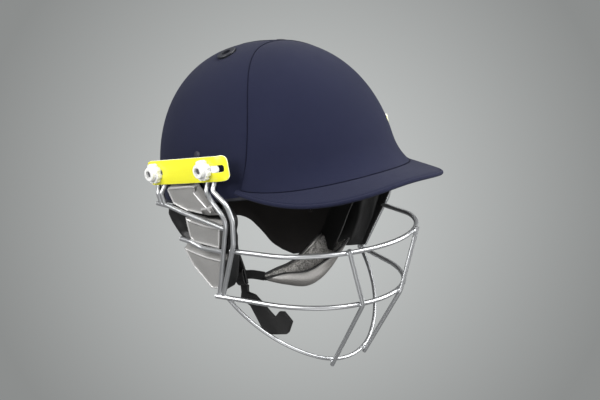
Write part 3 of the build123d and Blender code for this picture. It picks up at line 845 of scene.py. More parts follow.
@dataclass(frozen=True)
class Dome:
    """Dome of the shell, as power curves over two half ellipses."""

    front: float = 0.135
    back: float = 0.122
    half_width: float = 0.1027
    height: float = 0.1335
    power: float = 2.2

    def inset(self, depth: float) -> "Dome":
        """The same dome, a depth further in."""
        return Dome(self.front - depth, self.back - depth, self.half_width - depth, self.height - depth,
                    self.power)

    def point(self, rise: float, turn: float) -> Vector:
        """Point at an angle of rise above the rim and of turn from the front.

        Args:
            rise: Angle of rise in radians.
            turn: Angle of turn in radians, to the wearer's left.

        Returns:
            The point on the dome.
        """
        plan = max(math.cos(rise), 0.0) ** (2 / self.power)
        length = self.front if math.cos(turn) >= 0 else self.back
        return Vector((length * plan * math.cos(turn), self.half_width * plan * math.sin(turn),
                       self.height * max(math.sin(rise), 0.0) ** (2 / self.power)))

    def rise_at(self, z: float) -> float:
        """Angle of rise at a height."""
        return math.asin(min(max(z / self.height, 0.0), 1.0) ** (self.power / 2))

    def outward(self, place: Vector) -> Vector:
        """Direction out of the dome at a point on it.

        Args:
            place: The point.

        Returns:
            The unit direction.
        """
        length = self.front if place.x >= 0 else self.back
        ring = max(math.hypot(place.x / length, place.y / self.half_width), 1e-6)
        spread = ring ** (self.power - 2)
        return Vector((spread * place.x / length ** 2, spread * place.y / self.half_width ** 2,
                       max(place.z, 0.0) ** (self.power - 1) / self.height ** self.power)).normalized()


@dataclass(frozen=True)
class Visor:
    """Arched sheet of the peak: its plan and its slope."""

    reach: float = 0.1752
    start: float = 0.054
    half_width: float = 0.0948
    power: float = 2.54
    slope: float = math.radians(16.5)
    arch: float = 0.223
    root_x: float = 0.135
    root_z: float = 0.003
    half_full: float = 0.0022

    def middle(self, x: float, y: float) -> float:
        """Height of the sheet's middle surface."""
        fall = math.sqrt(max(self.arch ** 2 - y ** 2, 0.0)) - self.arch
        return self.root_z - (x - self.root_x) * math.tan(self.slope) + fall / math.cos(self.slope)

    def edge(self, angle: float, grow: float) -> Pair:
        """Plan point of the edge, from the wearer's left at 0 to the right at a half turn.

        Args:
            angle: Angle along the edge in radians.
            grow: How far outside the edge.

        Returns:
            Its X and Y.
        """
        across = math.copysign(abs(math.cos(angle)) ** (2 / self.power), math.cos(angle))
        ahead = max(math.sin(angle), 0.0) ** (2 / self.power)
        return self.start + (self.reach + grow - self.start) * ahead, (self.half_width + grow) * across


@dataclass(frozen=True)
class SeamLine:
    """Side seam of the cover: an arc through three places, seen from the side."""

    foot_x: float = 0.055
    bulge_x: float = 0.066
    bulge_z: float = 0.068
    crown_x: float = 0.027
    over: float = 0.003
    height: float = 0.1335

    def x_at(self, z: float) -> float:
        """Place of the seam at a height.

        Args:
            z: The height.

        Returns:
            The seam's X.
        """
        ax, az, bx, bz, cx, cz = (self.foot_x, -self.over, self.bulge_x, self.bulge_z, self.crown_x,
                                  self.height + self.over)
        d = 2 * (ax * (bz - cz) + bx * (cz - az) + cx * (az - bz))
        sa, sb, sc = ax * ax + az * az, bx * bx + bz * bz, cx * cx + cz * cz
        mx = (sa * (bz - cz) + sb * (cz - az) + sc * (az - bz)) / d
        mz = (sa * (cx - bx) + sb * (ax - cx) + sc * (bx - ax)) / d
        radius = math.hypot(ax - mx, az - mz)
        return mx + math.sqrt(max(radius ** 2 - (z - mz) ** 2, 0.0))

    def turn_at(self, dome: Dome, z: float) -> float:
        """Angle of turn of the seam on a dome at a height.

        Args:
            dome: The dome.
            z: The height.

        Returns:
            The angle in radians.
        """
        plan = max(math.cos(dome.rise_at(z)), 0.0) ** (2 / dome.power)
        share = self.x_at(z) / max(dome.front * plan, 1e-6)
        return math.acos(min(share, 1.0))

    def top(self, dome: Dome) -> float:
        """Height at which the seam crosses the middle.

        Args:
            dome: The dome.

        Returns:
            The height.
        """
        halvings = 40
        low, high = 0.5 * dome.height, dome.height
        for _ in range(halvings):
            middle = (low + high) / 2
            if self.turn_at(dome, middle) > 0:
                low = middle
            else:
                high = middle
        return low


# ---- the shell's cover


@dataclass
class ClothCover:
    """Navy cloth over the dome and the peak, with its seams and its edge roll."""

    dome: Dome = Dome()
    visor: Visor = Visor()
    seam: SeamLine = SeamLine()
    thickness: float = 0.0012
    flare: float = 0.0135
    side_flare: float = 0.0015
    flare_rise: float = 0.030
    flare_power: float = 2.5
    vent_x: float = 0.006
    vent_y: float = 0.037
    vent_cut: float = 0.0077
    roll_radius: float = 0.0019
    roll_out: float = 0.0009
    welt_radius: float = 0.00055
    seam_foot: float = 0.006
    foot_gap: float = 0.0003
    flare_zone: float = 0.36
    flare_ease: float = 1.3
    flare_spread: float = 0.8
    peak_turn: float = 66 / 90
    peak_root: float = 0.985
    peak_grow: float = 0.001
    peak_round: float = 0.93
    peak_thickness: float = 0.0009
    rear_welt_foot: float = 0.0015
    front_grid: tuple[int, int] = (88, 72)
    rear_grid: tuple[int, int] = (84, 60)
    peak_grid: tuple[int, int] = (96, 44)
    front_map: Pair = (0.30, 0.22)
    rear_map: Pair = (0.26, 0.20)
    peak_map: Pair = (0.30, 0.16)

    def _flare_at(self, turn: float) -> float:
        """How far the cover's foot stands out from the dome at an angle of turn.

        Args:
            turn: The angle in radians.

        Returns:
            The distance.
        """
        widest = self.seam.turn_at(self.dome, self.seam_foot)
        share = math.cos(min(abs(turn) / widest, 1.0) * math.pi / 2)
        return self.side_flare + (self.flare - self.side_flare) * share ** self.flare_spread

    def _foot(self, turn: float) -> float:
        """Height of the cover's foot on the peak at an angle of turn.

        Args:
            turn: The angle in radians.

        Returns:
            The height.
        """
        rim = self.dome.point(0.0, turn)
        out = Vector((rim.x / self.dome.front ** 2, rim.y / self.dome.half_width ** 2, 0)).normalized()
        foot = rim + out * self._flare_at(turn)
        return self.visor.middle(foot.x, foot.y) + self.visor.half_full + self.foot_gap

    def front_point(self, across: float, up: float) -> Vector:
        """Point of the front panel for shares across and up.

        Args:
            across: Share across, from the wearer's right.
            up: Share up, from the peak.

        Returns:
            The point.
        """
        side = 2 * across - 1
        foot = self._foot(side * self.seam.turn_at(self.dome, self.seam_foot))
        top = self.seam.top(self.dome)
        zone = self.flare_zone
        if up <= zone:
            above = self.flare_rise * (up / zone) ** self.flare_ease
            z = foot + above
        else:
            above = self.flare_rise
            low, high = self.dome.rise_at(foot + above), self.dome.rise_at(top)
            rise = low + (high - low) * (up - zone) / (1 - zone)
            z = self.dome.height * math.sin(rise) ** (2 / self.dome.power)
        turn = side * self.seam.turn_at(self.dome, z)
        place = self.dome.point(self.dome.rise_at(z), turn)
        out = Vector((place.x / self.dome.front ** 2, place.y / self.dome.half_width ** 2, 0))
        if up <= zone and out.length > 0:
            fall = (1 - above / self.flare_rise) ** self.flare_power
            place += out.normalized() * self._flare_at(turn) * fall
        return place

    def rear_point(self, across: float, up: float, side: Side) -> Vector:
        """Point of a rear panel for shares across and up.

        Args:
            across: Share across, from the side seam to the middle seam.
            up: Share up, from the rim.
            side: Side of the wearer.

        Returns:
            The point.
        """
        rise = up * math.pi / 2
        z = self.dome.height * math.sin(rise) ** (2 / self.dome.power)
        seam = self.seam.turn_at(self.dome, z)
        return self.dome.point(rise, side.value * (seam + across * (math.pi - seam)))

    def _wall(self, panel: Piece, node: str, inward: float, cut: Pair) -> None:
        """Args:
            panel: The panel, with no wall yet.
            node: The CAD node that it replaces.
            inward: -1 or 1, whichever grows the wall into the dome.
            cut: Width and length that the cloth was cut to; not used.
        """
        thicken(panel, self.thickness, inward)
        smooth(panel, 50)
        NAVY.dress(panel)
        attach(panel, "helmet")
        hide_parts(node)

    def build_front(self) -> None:
        """Front panel, which flares onto the peak."""
        panel = laid_grid("front_panel", *self.front_grid, self.front_point, self.front_map)
        merge_doubles(panel)
        self._wall(panel, "cover_front", -1.0, cut_size(self.front_point))

    def build_rear(self, side: Side) -> None:
        """One rear panel, with a hole for its vent.

        Args:
            side: Side of the wearer.
        """
        def place(across: float, up: float) -> Vector:
            """Point of this side's panel."""
            return self.rear_point(across, up, side)

        panel = laid_grid(f"rear_panel_{side.word}", *self.rear_grid, place, self.rear_map)
        merge_doubles(panel)
        ring = math.hypot(self.vent_x / self.dome.front, self.vent_y / self.dome.half_width)
        vent = Vector((self.vent_x, side.value * self.vent_y,
                       self.dome.height * (1 - ring ** self.dome.power) ** (1 / self.dome.power)))
        pick(panel)
        bpy.ops.object.mode_set(mode="EDIT")
        bpy.ops.mesh.select_mode(type="FACE")
        bpy.ops.mesh.select_all(action="DESELECT")
        bpy.ops.object.mode_set(mode="OBJECT")
        for face in panel.data.polygons:
            face.select = (face.center - vent).length < self.vent_cut
        bpy.ops.object.mode_set(mode="EDIT")
        bpy.ops.mesh.delete(type="FACE")
        bpy.ops.mesh.select_mode(type="VERT")
        bpy.ops.object.mode_set(mode="OBJECT")
        self._wall(panel, f"cover_rear_{side.word}", -side.value, cut_size(place))

    def build_seams(self) -> None:
        """Welts along the side seams, the rear middle seam and the foot on the peak."""
        steps, peak_steps, over_steps, over_angle = 40, 48, 12, 0.04
        top, low, quarter = self.seam.top(self.dome), self.rear_welt_foot, math.pi / 2
        for side in Side:
            heights = [low + (top - low) * math.sin(step / steps * quarter) for step in range(steps + 1)]
            self._welt(f"side_seam_{side.word}", [
                self.dome.point(self.dome.rise_at(z), side.value * self.seam.turn_at(self.dome, z))
                for z in heights])
        line = [self.dome.point(step / steps * quarter, math.pi) for step in range(1, steps)]
        over = [self.dome.point(quarter - step * over_angle, 0.0) for step in range(1, over_steps)]
        self._welt("rear_seam", line + [point for point in over if point.x < self.seam.x_at(top)])
        self._welt("peak_seam", [self.front_point(step / peak_steps, 0.0) for step in range(peak_steps + 1)])

    def _welt(self, name: str, line: Sequence[Vector]) -> None:
        """One thin welt, half sunk in the cloth, in a darker navy that paints the shade of the seam's gap.

        Args:
            name: The piece's name.
            line: The seam's line.
        """
        welt = tube(name, line, self.welt_radius, sides=1)
        NAVY_WELT_SHADE.dress(welt)
        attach(welt, "helmet")

    def peak_point(self, across: float, wrap: float) -> Vector:
        """Point of the cloth that wraps the peak, from its root above to its root below.

        Args:
            across: Share across, from the wearer's left.
            wrap: Share round, from above to below.

        Returns:
            The point.
        """
        angle = across * math.pi
        turn = (math.pi / 2 - angle) * self.peak_turn
        rim = self.dome.point(0.0, turn) * self.peak_root
        edge = self.visor.edge(angle, self.peak_grow)
        out = math.sin((1 - abs(2 * wrap - 1)) * math.pi / 2)
        x = rim.x + (edge[0] - rim.x) * out
        y = rim.y + (edge[1] - rim.y) * out
        round_off = max(out - self.peak_round, 0.0) / (1 - self.peak_round)
        lift = self.visor.half_full * math.sqrt(max(1 - round_off ** 2, 0.0))
        return Vector((x, y, self.visor.middle(x, y) + (lift if wrap <= 0.5 else -lift)))

    def build_peak(self) -> None:
        """Cloth round the peak, and the roll along its edge."""
        cloth = laid_grid("peak_cloth", *self.peak_grid, self.peak_point, self.peak_map)
        thicken(cloth, self.peak_thickness, -1.0)
        smooth(cloth, 60)
        NAVY.dress(cloth)
        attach(cloth, "helmet")
        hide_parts("peak_cover")
        cut_size(self.peak_point)
        line, steps = [], 64
        for step in range(steps + 1):
            x, y = self.visor.edge(math.pi * step / steps, self.roll_out)
            line.append(Vector((x, y, self.visor.middle(x, y))))
        roll = tube("peak_roll", line, self.roll_radius, sides=4)
        NAVY_ROLL.dress(roll)
        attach(roll, "helmet")
        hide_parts("peak_piping")

    def build(self) -> None:
        """All of the cover."""
        self.build_front()
        for side in Side:
            self.build_rear(side)
        self.build_seams()
        self.build_peak()
        log.info("cloth cover: front panel, two rear panels, seams and peak")


# ---- side plates


@dataclass
class SidePlates:
    """Yellow plates with their slots and turned-in front ends, and the low rivet heads above them."""

    rear_x: float = -0.050
    length: float = 0.1140
    height: float = 0.023
    middle_z: float = 0.0295
    corner: float = 0.0065
    outer_y: float = 0.111
    slots: tuple[Point, ...] = ((0.030, 0.0600, 0.0065), (-0.044, -0.0280, 0.0054))
    slot_round: float = 0.98
    edge_levels: tuple[Pair, ...] = (
        (0.0006, 0.0), (0.0002, 0.0002), (0.0, 0.0006), (0.0, 0.0016), (0.0004, 0.0020))
    cutter_levels: tuple[Pair, ...] = ((0.0, -0.004), (0.0, 0.006))
    bend_x: float = 0.0490
    bend_turn: float = math.radians(42)
    bend_run: float = 0.011
    rivet_spot: Pair = (0.013, 0.0415)
    rivet_radius: float = 0.0040
    rivet_rise: float = 0.0013
    rivet_bulge: float = 0.8
    crease: float = 35.0

    def _bent(self, x: float, depth: float) -> Pair:
        """Plan place of a point of the flat plate after its front end is bent in.

        Args:
            x: Place along the flat plate.
            depth: Depth inside its outer face.

        Returns:
            Its X, and how far inside the outer face it lies.
        """
        past = max(x - self.bend_x, 0.0)
        turn = self.bend_turn * min(past / self.bend_run, 1.0)
        radius = self.bend_run / self.bend_turn
        straight = max(past - self.bend_run, 0.0)
        ahead = min(x, self.bend_x) + radius * math.sin(turn) + straight * math.cos(turn)
        inward = radius * (1 - math.cos(turn)) + straight * math.sin(turn)
        return ahead - depth * math.sin(turn), inward + depth * math.cos(turn)

    def _slab(self, name: str, ends: Pair, height: float, radius: float,
              levels: Sequence[Pair]) -> Piece:
        """Flat rounded solid on the wearer's left, along the plate's middle line.

        Args:
            name: The solid's name.
            ends: X of its rear and its front end.
            height: Its height.
            radius: Radius of its corners.
            levels: An inset and a depth for each ring, from the outer face inwards.

        Returns:
            The solid.
        """
        low, high = self.middle_z - height / 2, self.middle_z + height / 2
        corners = [(ends[0], low), (ends[1], low), (ends[1], high), (ends[0], high)]
        outline = rounded_outline(corners, radius, steps=6)
        normals = outline_normals(outline)
        return ring_solid(name, [[Vector((p.x - n.x * inset, self.outer_y - depth, p.y - n.y * inset))
                                  for p, n in zip(outline, normals)] for inset, depth in levels])

    def build_plate(self) -> Piece:
        """The wearer's left plate.

        Returns:
            The plate, dressed.
        """
        plate = self._slab("side_plate_left_painted", (self.rear_x, self.rear_x + self.length), self.height,
                           self.corner, self.edge_levels)
        for number, (start, end, tall) in enumerate(self.slots):
            cutter = self._slab(f"slot_cutter_{number}", (start, end), tall, tall / 2 * self.slot_round,
                                self.cutter_levels)
            finish_with(plate, "BOOLEAN", object=cutter, operation="DIFFERENCE", solver="EXACT")
            bpy.data.objects.remove(cutter)
        cuts = 12
        with editing(plate):
            for step in range(cuts + 1):
                bpy.ops.mesh.select_all(action="SELECT")
                bpy.ops.mesh.bisect(plane_co=(self.bend_x + step / cuts * self.bend_run, 0, 0),
                                    plane_no=(1, 0, 0))
        for vertex in plate.data.vertices:
            x, inward = self._bent(vertex.co.x, self.outer_y - vertex.co.y)
            vertex.co.x, vertex.co.y = x, self.outer_y - inward
        turn_outward(plate)
        smooth(plate, self.crease)
        PLATE.dress(plate)
        return plate

    def build_rivet(self, side: Side) -> None:
        """Low rivet head seated on the cloth.

        Args:
            side: Side of the wearer.
        """
        dome = Dome()
        x, z = self.rivet_spot
        left = 1 - (x / dome.front) ** dome.power - (z / dome.height) ** dome.power
        seat = Vector((x, dome.half_width * left ** (1 / dome.power), z))
        out = dome.outward(seat)
        deselect()
        bpy.ops.mesh.primitive_uv_sphere_add(segments=28, ring_count=14, radius=self.rivet_radius)
        head = named(f"strap_rivet_{side.word}_head")
        for vertex in head.data.vertices:
            lift = vertex.co.z / self.rivet_radius
            vertex.co.z = self.rivet_rise * math.copysign(abs(lift) ** self.rivet_bulge, lift)
        turn = UPWARD.rotation_difference(out).to_matrix().to_4x4()
        head.data.transform(Matrix.Scale(side.value, 4, Y_AXIS) @ Matrix.Translation(seat) @ turn)
        turn_outward(head)
        smooth(head, 50)
        RIVET.dress(head)
        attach(head, "helmet")
        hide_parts(f"strap_rivet_{side.word}")

    def build(self) -> None:
        """Both plates and both rivet heads."""
        left = self.build_plate()
        right = mirrored(left, "side_plate_right_painted", self.crease)
        for side, plate in ((Side.LEFT, left), (Side.RIGHT, right)):
            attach(plate, "helmet")
            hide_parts(f"side_plate_{side.word}")
            self.build_rivet(side)
        log.info("side plates: two plates with slots, two rivet heads")


# ---- inside the shell


@dataclass
class Lining:
    """Foam liner with air channels, and the comfort pads on it."""

    dome: Dome = Dome().inset(0.0162)
    wall: float = 0.0118
    channel_depth: float = 0.0025
    channel_width: float = 0.010
    pad_thickness: float = 0.006
    crown_radius: float = 0.027
    crown_thickness: float = 0.007
    channel_lines: tuple[float, ...] = (-0.055, -0.018, 0.018, 0.055)
    channel_foot: float = 0.030
    channel_fade: float = 0.010
    liner_grid: tuple[int, int] = (120, 40)
    liner_map: Pair = (0.6, 0.2)
    bedding: float = 0.0002
    forehead_foot: float = 0.0045
    forehead_height: float = 0.027
    forehead_end_x: float = 0.0635
    forehead_map: Pair = (0.17, 0.03)
    crown_map: Pair = (0.055, 0.055)
    pad_grid: tuple[int, int] = (48, 20)
    pinch_run: int = 5
    quilts: int = 4

    def _liner_point(self, across: float, up: float) -> Vector:
        """Point of the liner's inner face, sunk along its air channels.

        Args:
            across: Share round the dome, from the front to the wearer's left.
            up: Share up, from the rim.

        Returns:
            The point.
        """
        turn, rise = across * 2 * math.pi, up * math.pi / 2
        place = self.dome.point(rise, turn)
        sunk = 0.0
        for y in self.channel_lines:
            near = abs(place.y - y) / (self.channel_width / 2)
            sunk = max(sunk, 1 - ease((near - 0.7) / 0.6))
        sunk *= ease((place.z - self.channel_foot) / self.channel_fade)
        return place + self.dome.outward(place) * self.channel_depth * sunk

    def build_liner(self) -> None:
        """Foam liner."""
        liner = laid_grid("foam_liner", *self.liner_grid, self._liner_point, self.liner_map)
        merge_doubles(liner)
        thicken(liner, self.wall - self.channel_depth, 1.0)
        smooth(liner, 40)
        FOAM.dress(liner)
        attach(liner, "helmet")
        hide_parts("liner")

    def _fullness(self, column: int, row: int) -> float:
        """Share of a comfort pad's thickness, pinched at the bound edge and between the quilts.

        Args:
            column: Column of the grid's vertices.
            row: Row of the grid's vertices.

        Returns:
            The share.
        """
        columns, rows = self.pad_grid
        inner = min(column, columns - column, row, rows - row) / self.pinch_run
        quilt = 0.72 + 0.28 * abs(math.sin(column / columns * math.pi * self.quilts))
        return (0.15 + 0.85 * math.sqrt(min(inner, 1.0))) * quilt

    def _pad(self, name: str, node: str, place: Place, thickness: float, size: Pair) -> None:
        """One comfort pad, full in the middle and pinched at its bound edge.

        Args:
            name: The piece's name.
            node: The CAD node that it replaces.
            place: Gives the point of its middle surface for shares across and up.
            thickness: Its full thickness.
            size: Width and length of its map.
        """
        pad = laid_grid(name, *self.pad_grid, place, size)
        thicken(pad, thickness, 0.0, grid_shares(*self.pad_grid, self._fullness), 0.05)
        subdivide(pad)
        smooth(pad, 60)
        PAD_CLOTH.dress(pad)
        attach(pad, "helmet")
        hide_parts(node)

    def _forehead_point(self, across: float, up: float) -> Vector:
        """Point in the middle of the forehead pad.

        Args:
            across: Share across, from the wearer's right.
            up: Share up, from its lower edge.

        Returns:
            The point.
        """
        middle = self.dome.inset(self.pad_thickness / 2 + self.bedding)
        rise = middle.rise_at(self.forehead_foot + self.forehead_height * up)
        plan = math.cos(rise) ** (2 / middle.power)
        limit = math.acos(self.forehead_end_x / (middle.front * plan))
        return middle.point(rise, (2 * across - 1) * limit)

    def _crown_point(self, across: float, up: float) -> Vector:
        """Point in the middle of the round crown pad.

        Args:
            across: Share along X, from the back.
            up: Share along Y, from the wearer's right.

        Returns:
            The point.
        """
        crown = self.dome.inset(self.crown_thickness / 2 + self.bedding)
        u, v = 2 * across - 1, 2 * up - 1
        x = self.crown_radius * u * math.sqrt(1 - v * v / 2)
        y = self.crown_radius * v * math.sqrt(1 - u * u / 2)
        ring = math.hypot(x / (crown.front if x >= 0 else crown.back), y / crown.half_width)
        return Vector((x, y, crown.height * (1 - ring ** crown.power) ** (1 / crown.power)))

    def build_pads(self) -> None:
        """Forehead pad and crown pad."""
        self._pad("forehead_cushion", "forehead_pad", self._forehead_point, self.pad_thickness,
                  self.forehead_map)
        self._pad("crown_cushion", "crown_pad", self._crown_point, self.crown_thickness, self.crown_map)

    def build(self) -> None:
        """Liner and pads."""
        self.build_liner()
        self.build_pads()
        log.info("lining: foam liner, forehead cushion and crown cushion")


@dataclass
class Apron:
    """Padded apron below the rim, with its lobes and its bound edge."""

    front: float = 0.118
    back: float = 0.112
    half_width: float = 0.092
    thickness: float = 0.007
    taper: float = math.tan(math.radians(15.5))
    drop: float = 0.089
    edge_shares: tuple[Pair, ...] = (
        (-1.20, -0.42), (-0.88, -0.42), (-0.80, -0.49), (-0.72, -0.64), (-0.62, -0.84), (-0.52, -0.95),
        (-0.42, -1.0), (-0.11, -0.89), (0.05, -0.67), (0.14, -0.39), (0.18, 0.0))
    first_turn: float = math.radians(80.2)
    grid: tuple[int, int] = (150, 26)
    apron_map: Pair = (0.34, 0.09)
    top_z: float = -0.001
    foot_gap: float = 0.0008
    foot_step: float = 0.0005
    least_drop: float = 0.002
    column_width: float = 0.0023
    rounding: float = 0.010
    binding_radius: float = 0.0016

    def _point(self, turn: float, z: float) -> Vector:
        """Point of the apron's middle surface.

        Args:
            turn: Angle of turn in radians.
            z: Height.

        Returns:
            The point.
        """
        shrink = self.taper * -z + self.thickness / 2
        length = (self.front if math.cos(turn) >= 0 else self.back) - shrink
        return Vector((length * math.cos(turn), (self.half_width - shrink) * math.sin(turn), z))

    def _edge(self, x: float) -> float:
        """Height of the apron's lower edge at a place along X.

        Args:
            x: The place.

        Returns:
            The height.
        """
        places = [(a * self.back, b * self.drop) for a, b in self.edge_shares]
        if x <= places[0][0]:
            return places[0][1]
        for index in range(len(places) - 1):
            (x1, z1), (x2, z2) = places[index], places[index + 1]
            if x1 <= x <= x2:
                x0, z0 = places[index - 1] if index else (2 * x1 - x2, z1)
                x3, z3 = places[index + 2] if index + 2 < len(places) else (2 * x2 - x1, 2 * z2 - z1)
                t = (x - x1) / (x2 - x1)
                m1 = (z2 - z0) / (x2 - x0) * (x2 - x1)
                m2 = (z3 - z1) / (x3 - x1) * (x2 - x1)
                return ((2 * t ** 3 - 3 * t ** 2 + 1) * z1 + (t ** 3 - 2 * t ** 2 + t) * m1
                        + (-2 * t ** 3 + 3 * t ** 2) * z2 + (t ** 3 - t ** 2) * m2)
        return 0.0

    def _bottom(self, turn: float) -> float:
        """Height of the lower edge at an angle of turn.

        Args:
            turn: Angle of turn in radians.

        Returns:
            The height.
        """
        z = 0.0
        while z > -self.drop + self.foot_gap and z > self._edge(self._point(turn, z).x):
            z -= self.foot_step
        return min(z + self.foot_gap, -self.least_drop)

    def build(self) -> None:
        """The apron, its bound edge and its dressing."""
        columns, rows = self.grid
        turns = [self.first_turn + (2 * math.pi - 2 * self.first_turn) * step / columns
                 for step in range(columns + 1)]
        bottoms = [self._bottom(turn) for turn in turns]

        def place(across: float, down: float) -> Vector:
            """Point for a share across, from the wearer's left, and a share down."""
            step = min(round(across * columns), columns)
            return self._point(turns[step], self.top_z + (bottoms[step] - self.top_z) * down)

        def fullness(column: int, row: int) -> float:
            """Share of the thickness at a vertex, less towards the lower edge and the ends.

            Args:
                column: Column of the grid's vertices.
                row: Row of the grid's vertices.

            Returns:
                The share.
            """
            below = (rows - row) / rows * -bottoms[column]
            beside = min(column, columns - column) * self.column_width
            return 0.35 + 0.65 * math.sqrt(ease(min(below, beside) / self.rounding))

        apron = laid_grid("neck_apron_padded", columns, rows, place, self.apron_map)
        thicken(apron, self.thickness, 0.0, grid_shares(columns, rows, fullness), 0.3)
        smooth(apron, 60)
        APRON.dress(apron)
        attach(apron, "helmet")
        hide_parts("neck_apron")
        line = [self._point(turn, low) for turn, low in zip(turns, bottoms)]
        line = [self._point(turns[0], -self.least_drop), *line, self._point(turns[-1], -self.least_drop)]
        binding = tube("apron_binding_tape", line, self.binding_radius, sides=2)
        BINDING.dress(binding)
        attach(binding, "helmet")
        log.info("apron: padded apron with a bound edge")


# ---- the face guard


@dataclass(frozen=True)
class BarArc:
    """Front arc of a U-shaped bar, with what places points beside it."""

    end_x: float
    depth: float
    front: float
    end_z: float
    tilt: float

    def beside(self, y: float, out: float) -> Vector:
        """Point at a distance across and out from the bar's centre line.

        Args:
            y: Distance across.
            out: Distance out from the centre line.

        Returns:
            The point.
        """
        share = 1 + out / self.front
        along = self.depth - self.front + math.sqrt(self.front ** 2 - y ** 2) * share
        tilt = math.radians(self.tilt)
        return Vector((self.end_x + along * math.cos(tilt), y * share, self.end_z - along * math.sin(tilt)))


@dataclass(frozen=True)
class EarPad:
    """One moulded ear pad on the side plane: its box, its outline in shares of it, and its ridge."""

    name: str
    rear_x: float
    top_z: float
    length: float
    height: float
    shares: tuple[Pair, ...]
    ridge: float
    lead: Pair
    ceiling: float | None = None


@dataclass
class FaceGuard:
    """Ear pads, cushions and weld beads on the wires, which are CAD nodes."""

    half_width: float = 0.1088
    lean: float = math.radians(9.1)
    wire_radius: float = 0.00225
    wire_gap: float = 0.00005
    side_length: float = 0.055
    side_drop: float = 0.092
    top_arc: BarArc = BarArc(0.0358, 0.1042, 0.0962, -0.048, 9.1)
    middle_arc: BarArc = BarArc(-0.0014, 0.1218, 0.0768, -0.092, 11.3)
    chin_arc: BarArc = BarArc(0.0064, 0.0983, 0.0636, -0.0932, 56.3)
    pads: tuple[EarPad, ...] = (
        EarPad("upper", -0.032, 0.017, 0.065, 0.0325,
               ((0, -0.12), (0.06, -0.03), (0.70, 0), (1.0, -0.70), (1.0, -1.0), (0.66, -1.0), (0.34, -0.86),
                (0.05, -0.61)), 0.0105, (1.0, -0.25), -0.0042),
        EarPad("middle", -0.027, -0.008, 0.063, 0.040,
               ((0.15, -0.07), (0.30, -0.16), (0.60, -0.28), (1.0, -0.34), (0.76, -1.0), (0.17, -0.83),
                (0.10, -0.68)), 0.0052, (0.62, 0.78)),
        EarPad("lower", -0.0375, -0.041, 0.064, 0.047,
               ((0, 0), (0.52, -0.20), (1.0, -0.31), (0.64, -1.0), (0.40, -1.0), (0.12, -0.52)), 0.0046,
               (0.62, 0.78)))
    pad_corner: float = 0.0045
    pad_crease: float = 32.0
    pad_rounding: float = 0.00035
    pad_bevel_limit: float = math.radians(35)
    plain_bevel: float = 0.0022
    lead_from: float = 0.10
    lead_run: float = 0.55
    smoothings: int = 6
    # Walls of a pad, from its back to its ridge: a share of the bevel's width, a further inset and a depth
    pad_walls: tuple[Point, ...] = (
        (0.0, 0.0012, 0.0120), (0.0, 0.0, 0.0108), (0.0, 0.0, 0.0088), (0.0, 0.0007, 0.0085),
        (0.0, 0.0007, 0.0079), (0.0, 0.0, 0.0076), (0.0, 0.0, 0.0058), (0.0, 0.0007, 0.0047),
        (0.5, 0.0002, 0.0028), (1.0, -0.0007, 0.0007), (1.0, -0.0002, 0.0002), (1.0, 0.0005, 0.0002),
        (1.0, 0.0012, 0.0008), (1.0, 0.0022, 0.0013))
    # Face of a pad inside its ridge: a share of the way to the middle and a depth
    pad_face: tuple[Pair, ...] = (
        (0.20, 0.0014), (0.36, 0.0013), (0.55, 0.0011), (0.78, 0.0009), (0.94, 0.0008))
    back_strips: range = range(3)
    # Strips of a pad's ridge that get the lighter finish of the painted highlight
    highlight_strips: range = range(9, 12)
    # Strips and facings of the bevel that get the darker finish of painted shade
    shaded_front_strips: range = range(6, 9)
    shaded_rear_strips: range = range(5, 8)
    shaded_front_facing: float = 0.5
    shaded_rear_facing: float = -0.35
    ceiling_run: float = 0.006
    ceiling_y: float = 0.1040
    # Rows of a cushion: height, and X of its rear edge, the pads' front edge and its own front edge
    cushion_rows: tuple[tuple[float, ...], ...] = (
        (-0.0055, -0.048, 0.0345, 0.0530), (-0.014, -0.0535, 0.0355, 0.0545), (-0.022, -0.052, 0.0370, 0.0545),
        (-0.035, -0.046, 0.0310, 0.0488), (-0.047, -0.036, 0.0250, 0.0410), (-0.060, -0.029, 0.0215, 0.0305),
        (-0.075, -0.019, 0.0130, 0.0190), (-0.089, -0.009, 0.0035, 0.0090))
    cushion_thickness: float = 0.0065
    cushion_leads: Pair = (0.0055, -0.0035)
    cushion_grid: tuple[int, int] = (48, 36)
    cushion_map: Pair = (0.10, 0.09)
    cushion_depth: float = 0.0130
    cushion_sink: float = 0.0022
    cushion_front_depth: float = 0.0024
    cushion_rear_depth: float = 0.0095
    pads_share: float = 0.7
    bead_radius: float = 0.0021
    bead_length: float = 1.7
    bead_inset: float = 0.0020
    bead_sink: float = 0.0006
    bar_beads: Point = (0.0423, 0.0241, 0.0209)
    side_beads: tuple[Pair, ...] = ((0.11, -0.985), (0.44, -0.521), (0.70, -0.283))

    def _on_side(self, x: float, z: float, depth: float, side: Side) -> Vector:
        """Point a depth behind the wires on the leaning side plane.

        Args:
            x: Place along the plane.
            z: Height on the plane.
            depth: Depth behind the wires.
            side: Side of the wearer.

        Returns:
            The point.
        """
        outer = self.half_width - (self.wire_radius + self.wire_gap) / math.cos(self.lean)
        y = outer + math.tan(self.lean) * z - math.cos(self.lean) * depth
        return Vector((x, side.value * y, z + math.sin(self.lean) * depth))

    def _bevel_widths(self, normals: Sequence[Vector], size: EarPad) -> list[float]:
        """Width of a pad's bevel at each point of its outline, widest where the lead points.

        Args:
            normals: Directions out of the outline.
            size: The pad's sizes.

        Returns:
            The widths, evened out along the outline.
        """
        plain, lead = self.plain_bevel, Vector(size.lead).normalized()
        widths = [plain + (size.ridge - plain) * ease((normal.dot(lead) + self.lead_from) / self.lead_run)
                  for normal in normals]
        for _ in range(self.smoothings):
            widths = [(widths[i - 1] + 2 * widths[i] + widths[(i + 1) % len(widths)]) / 4
                      for i in range(len(widths))]
        return widths

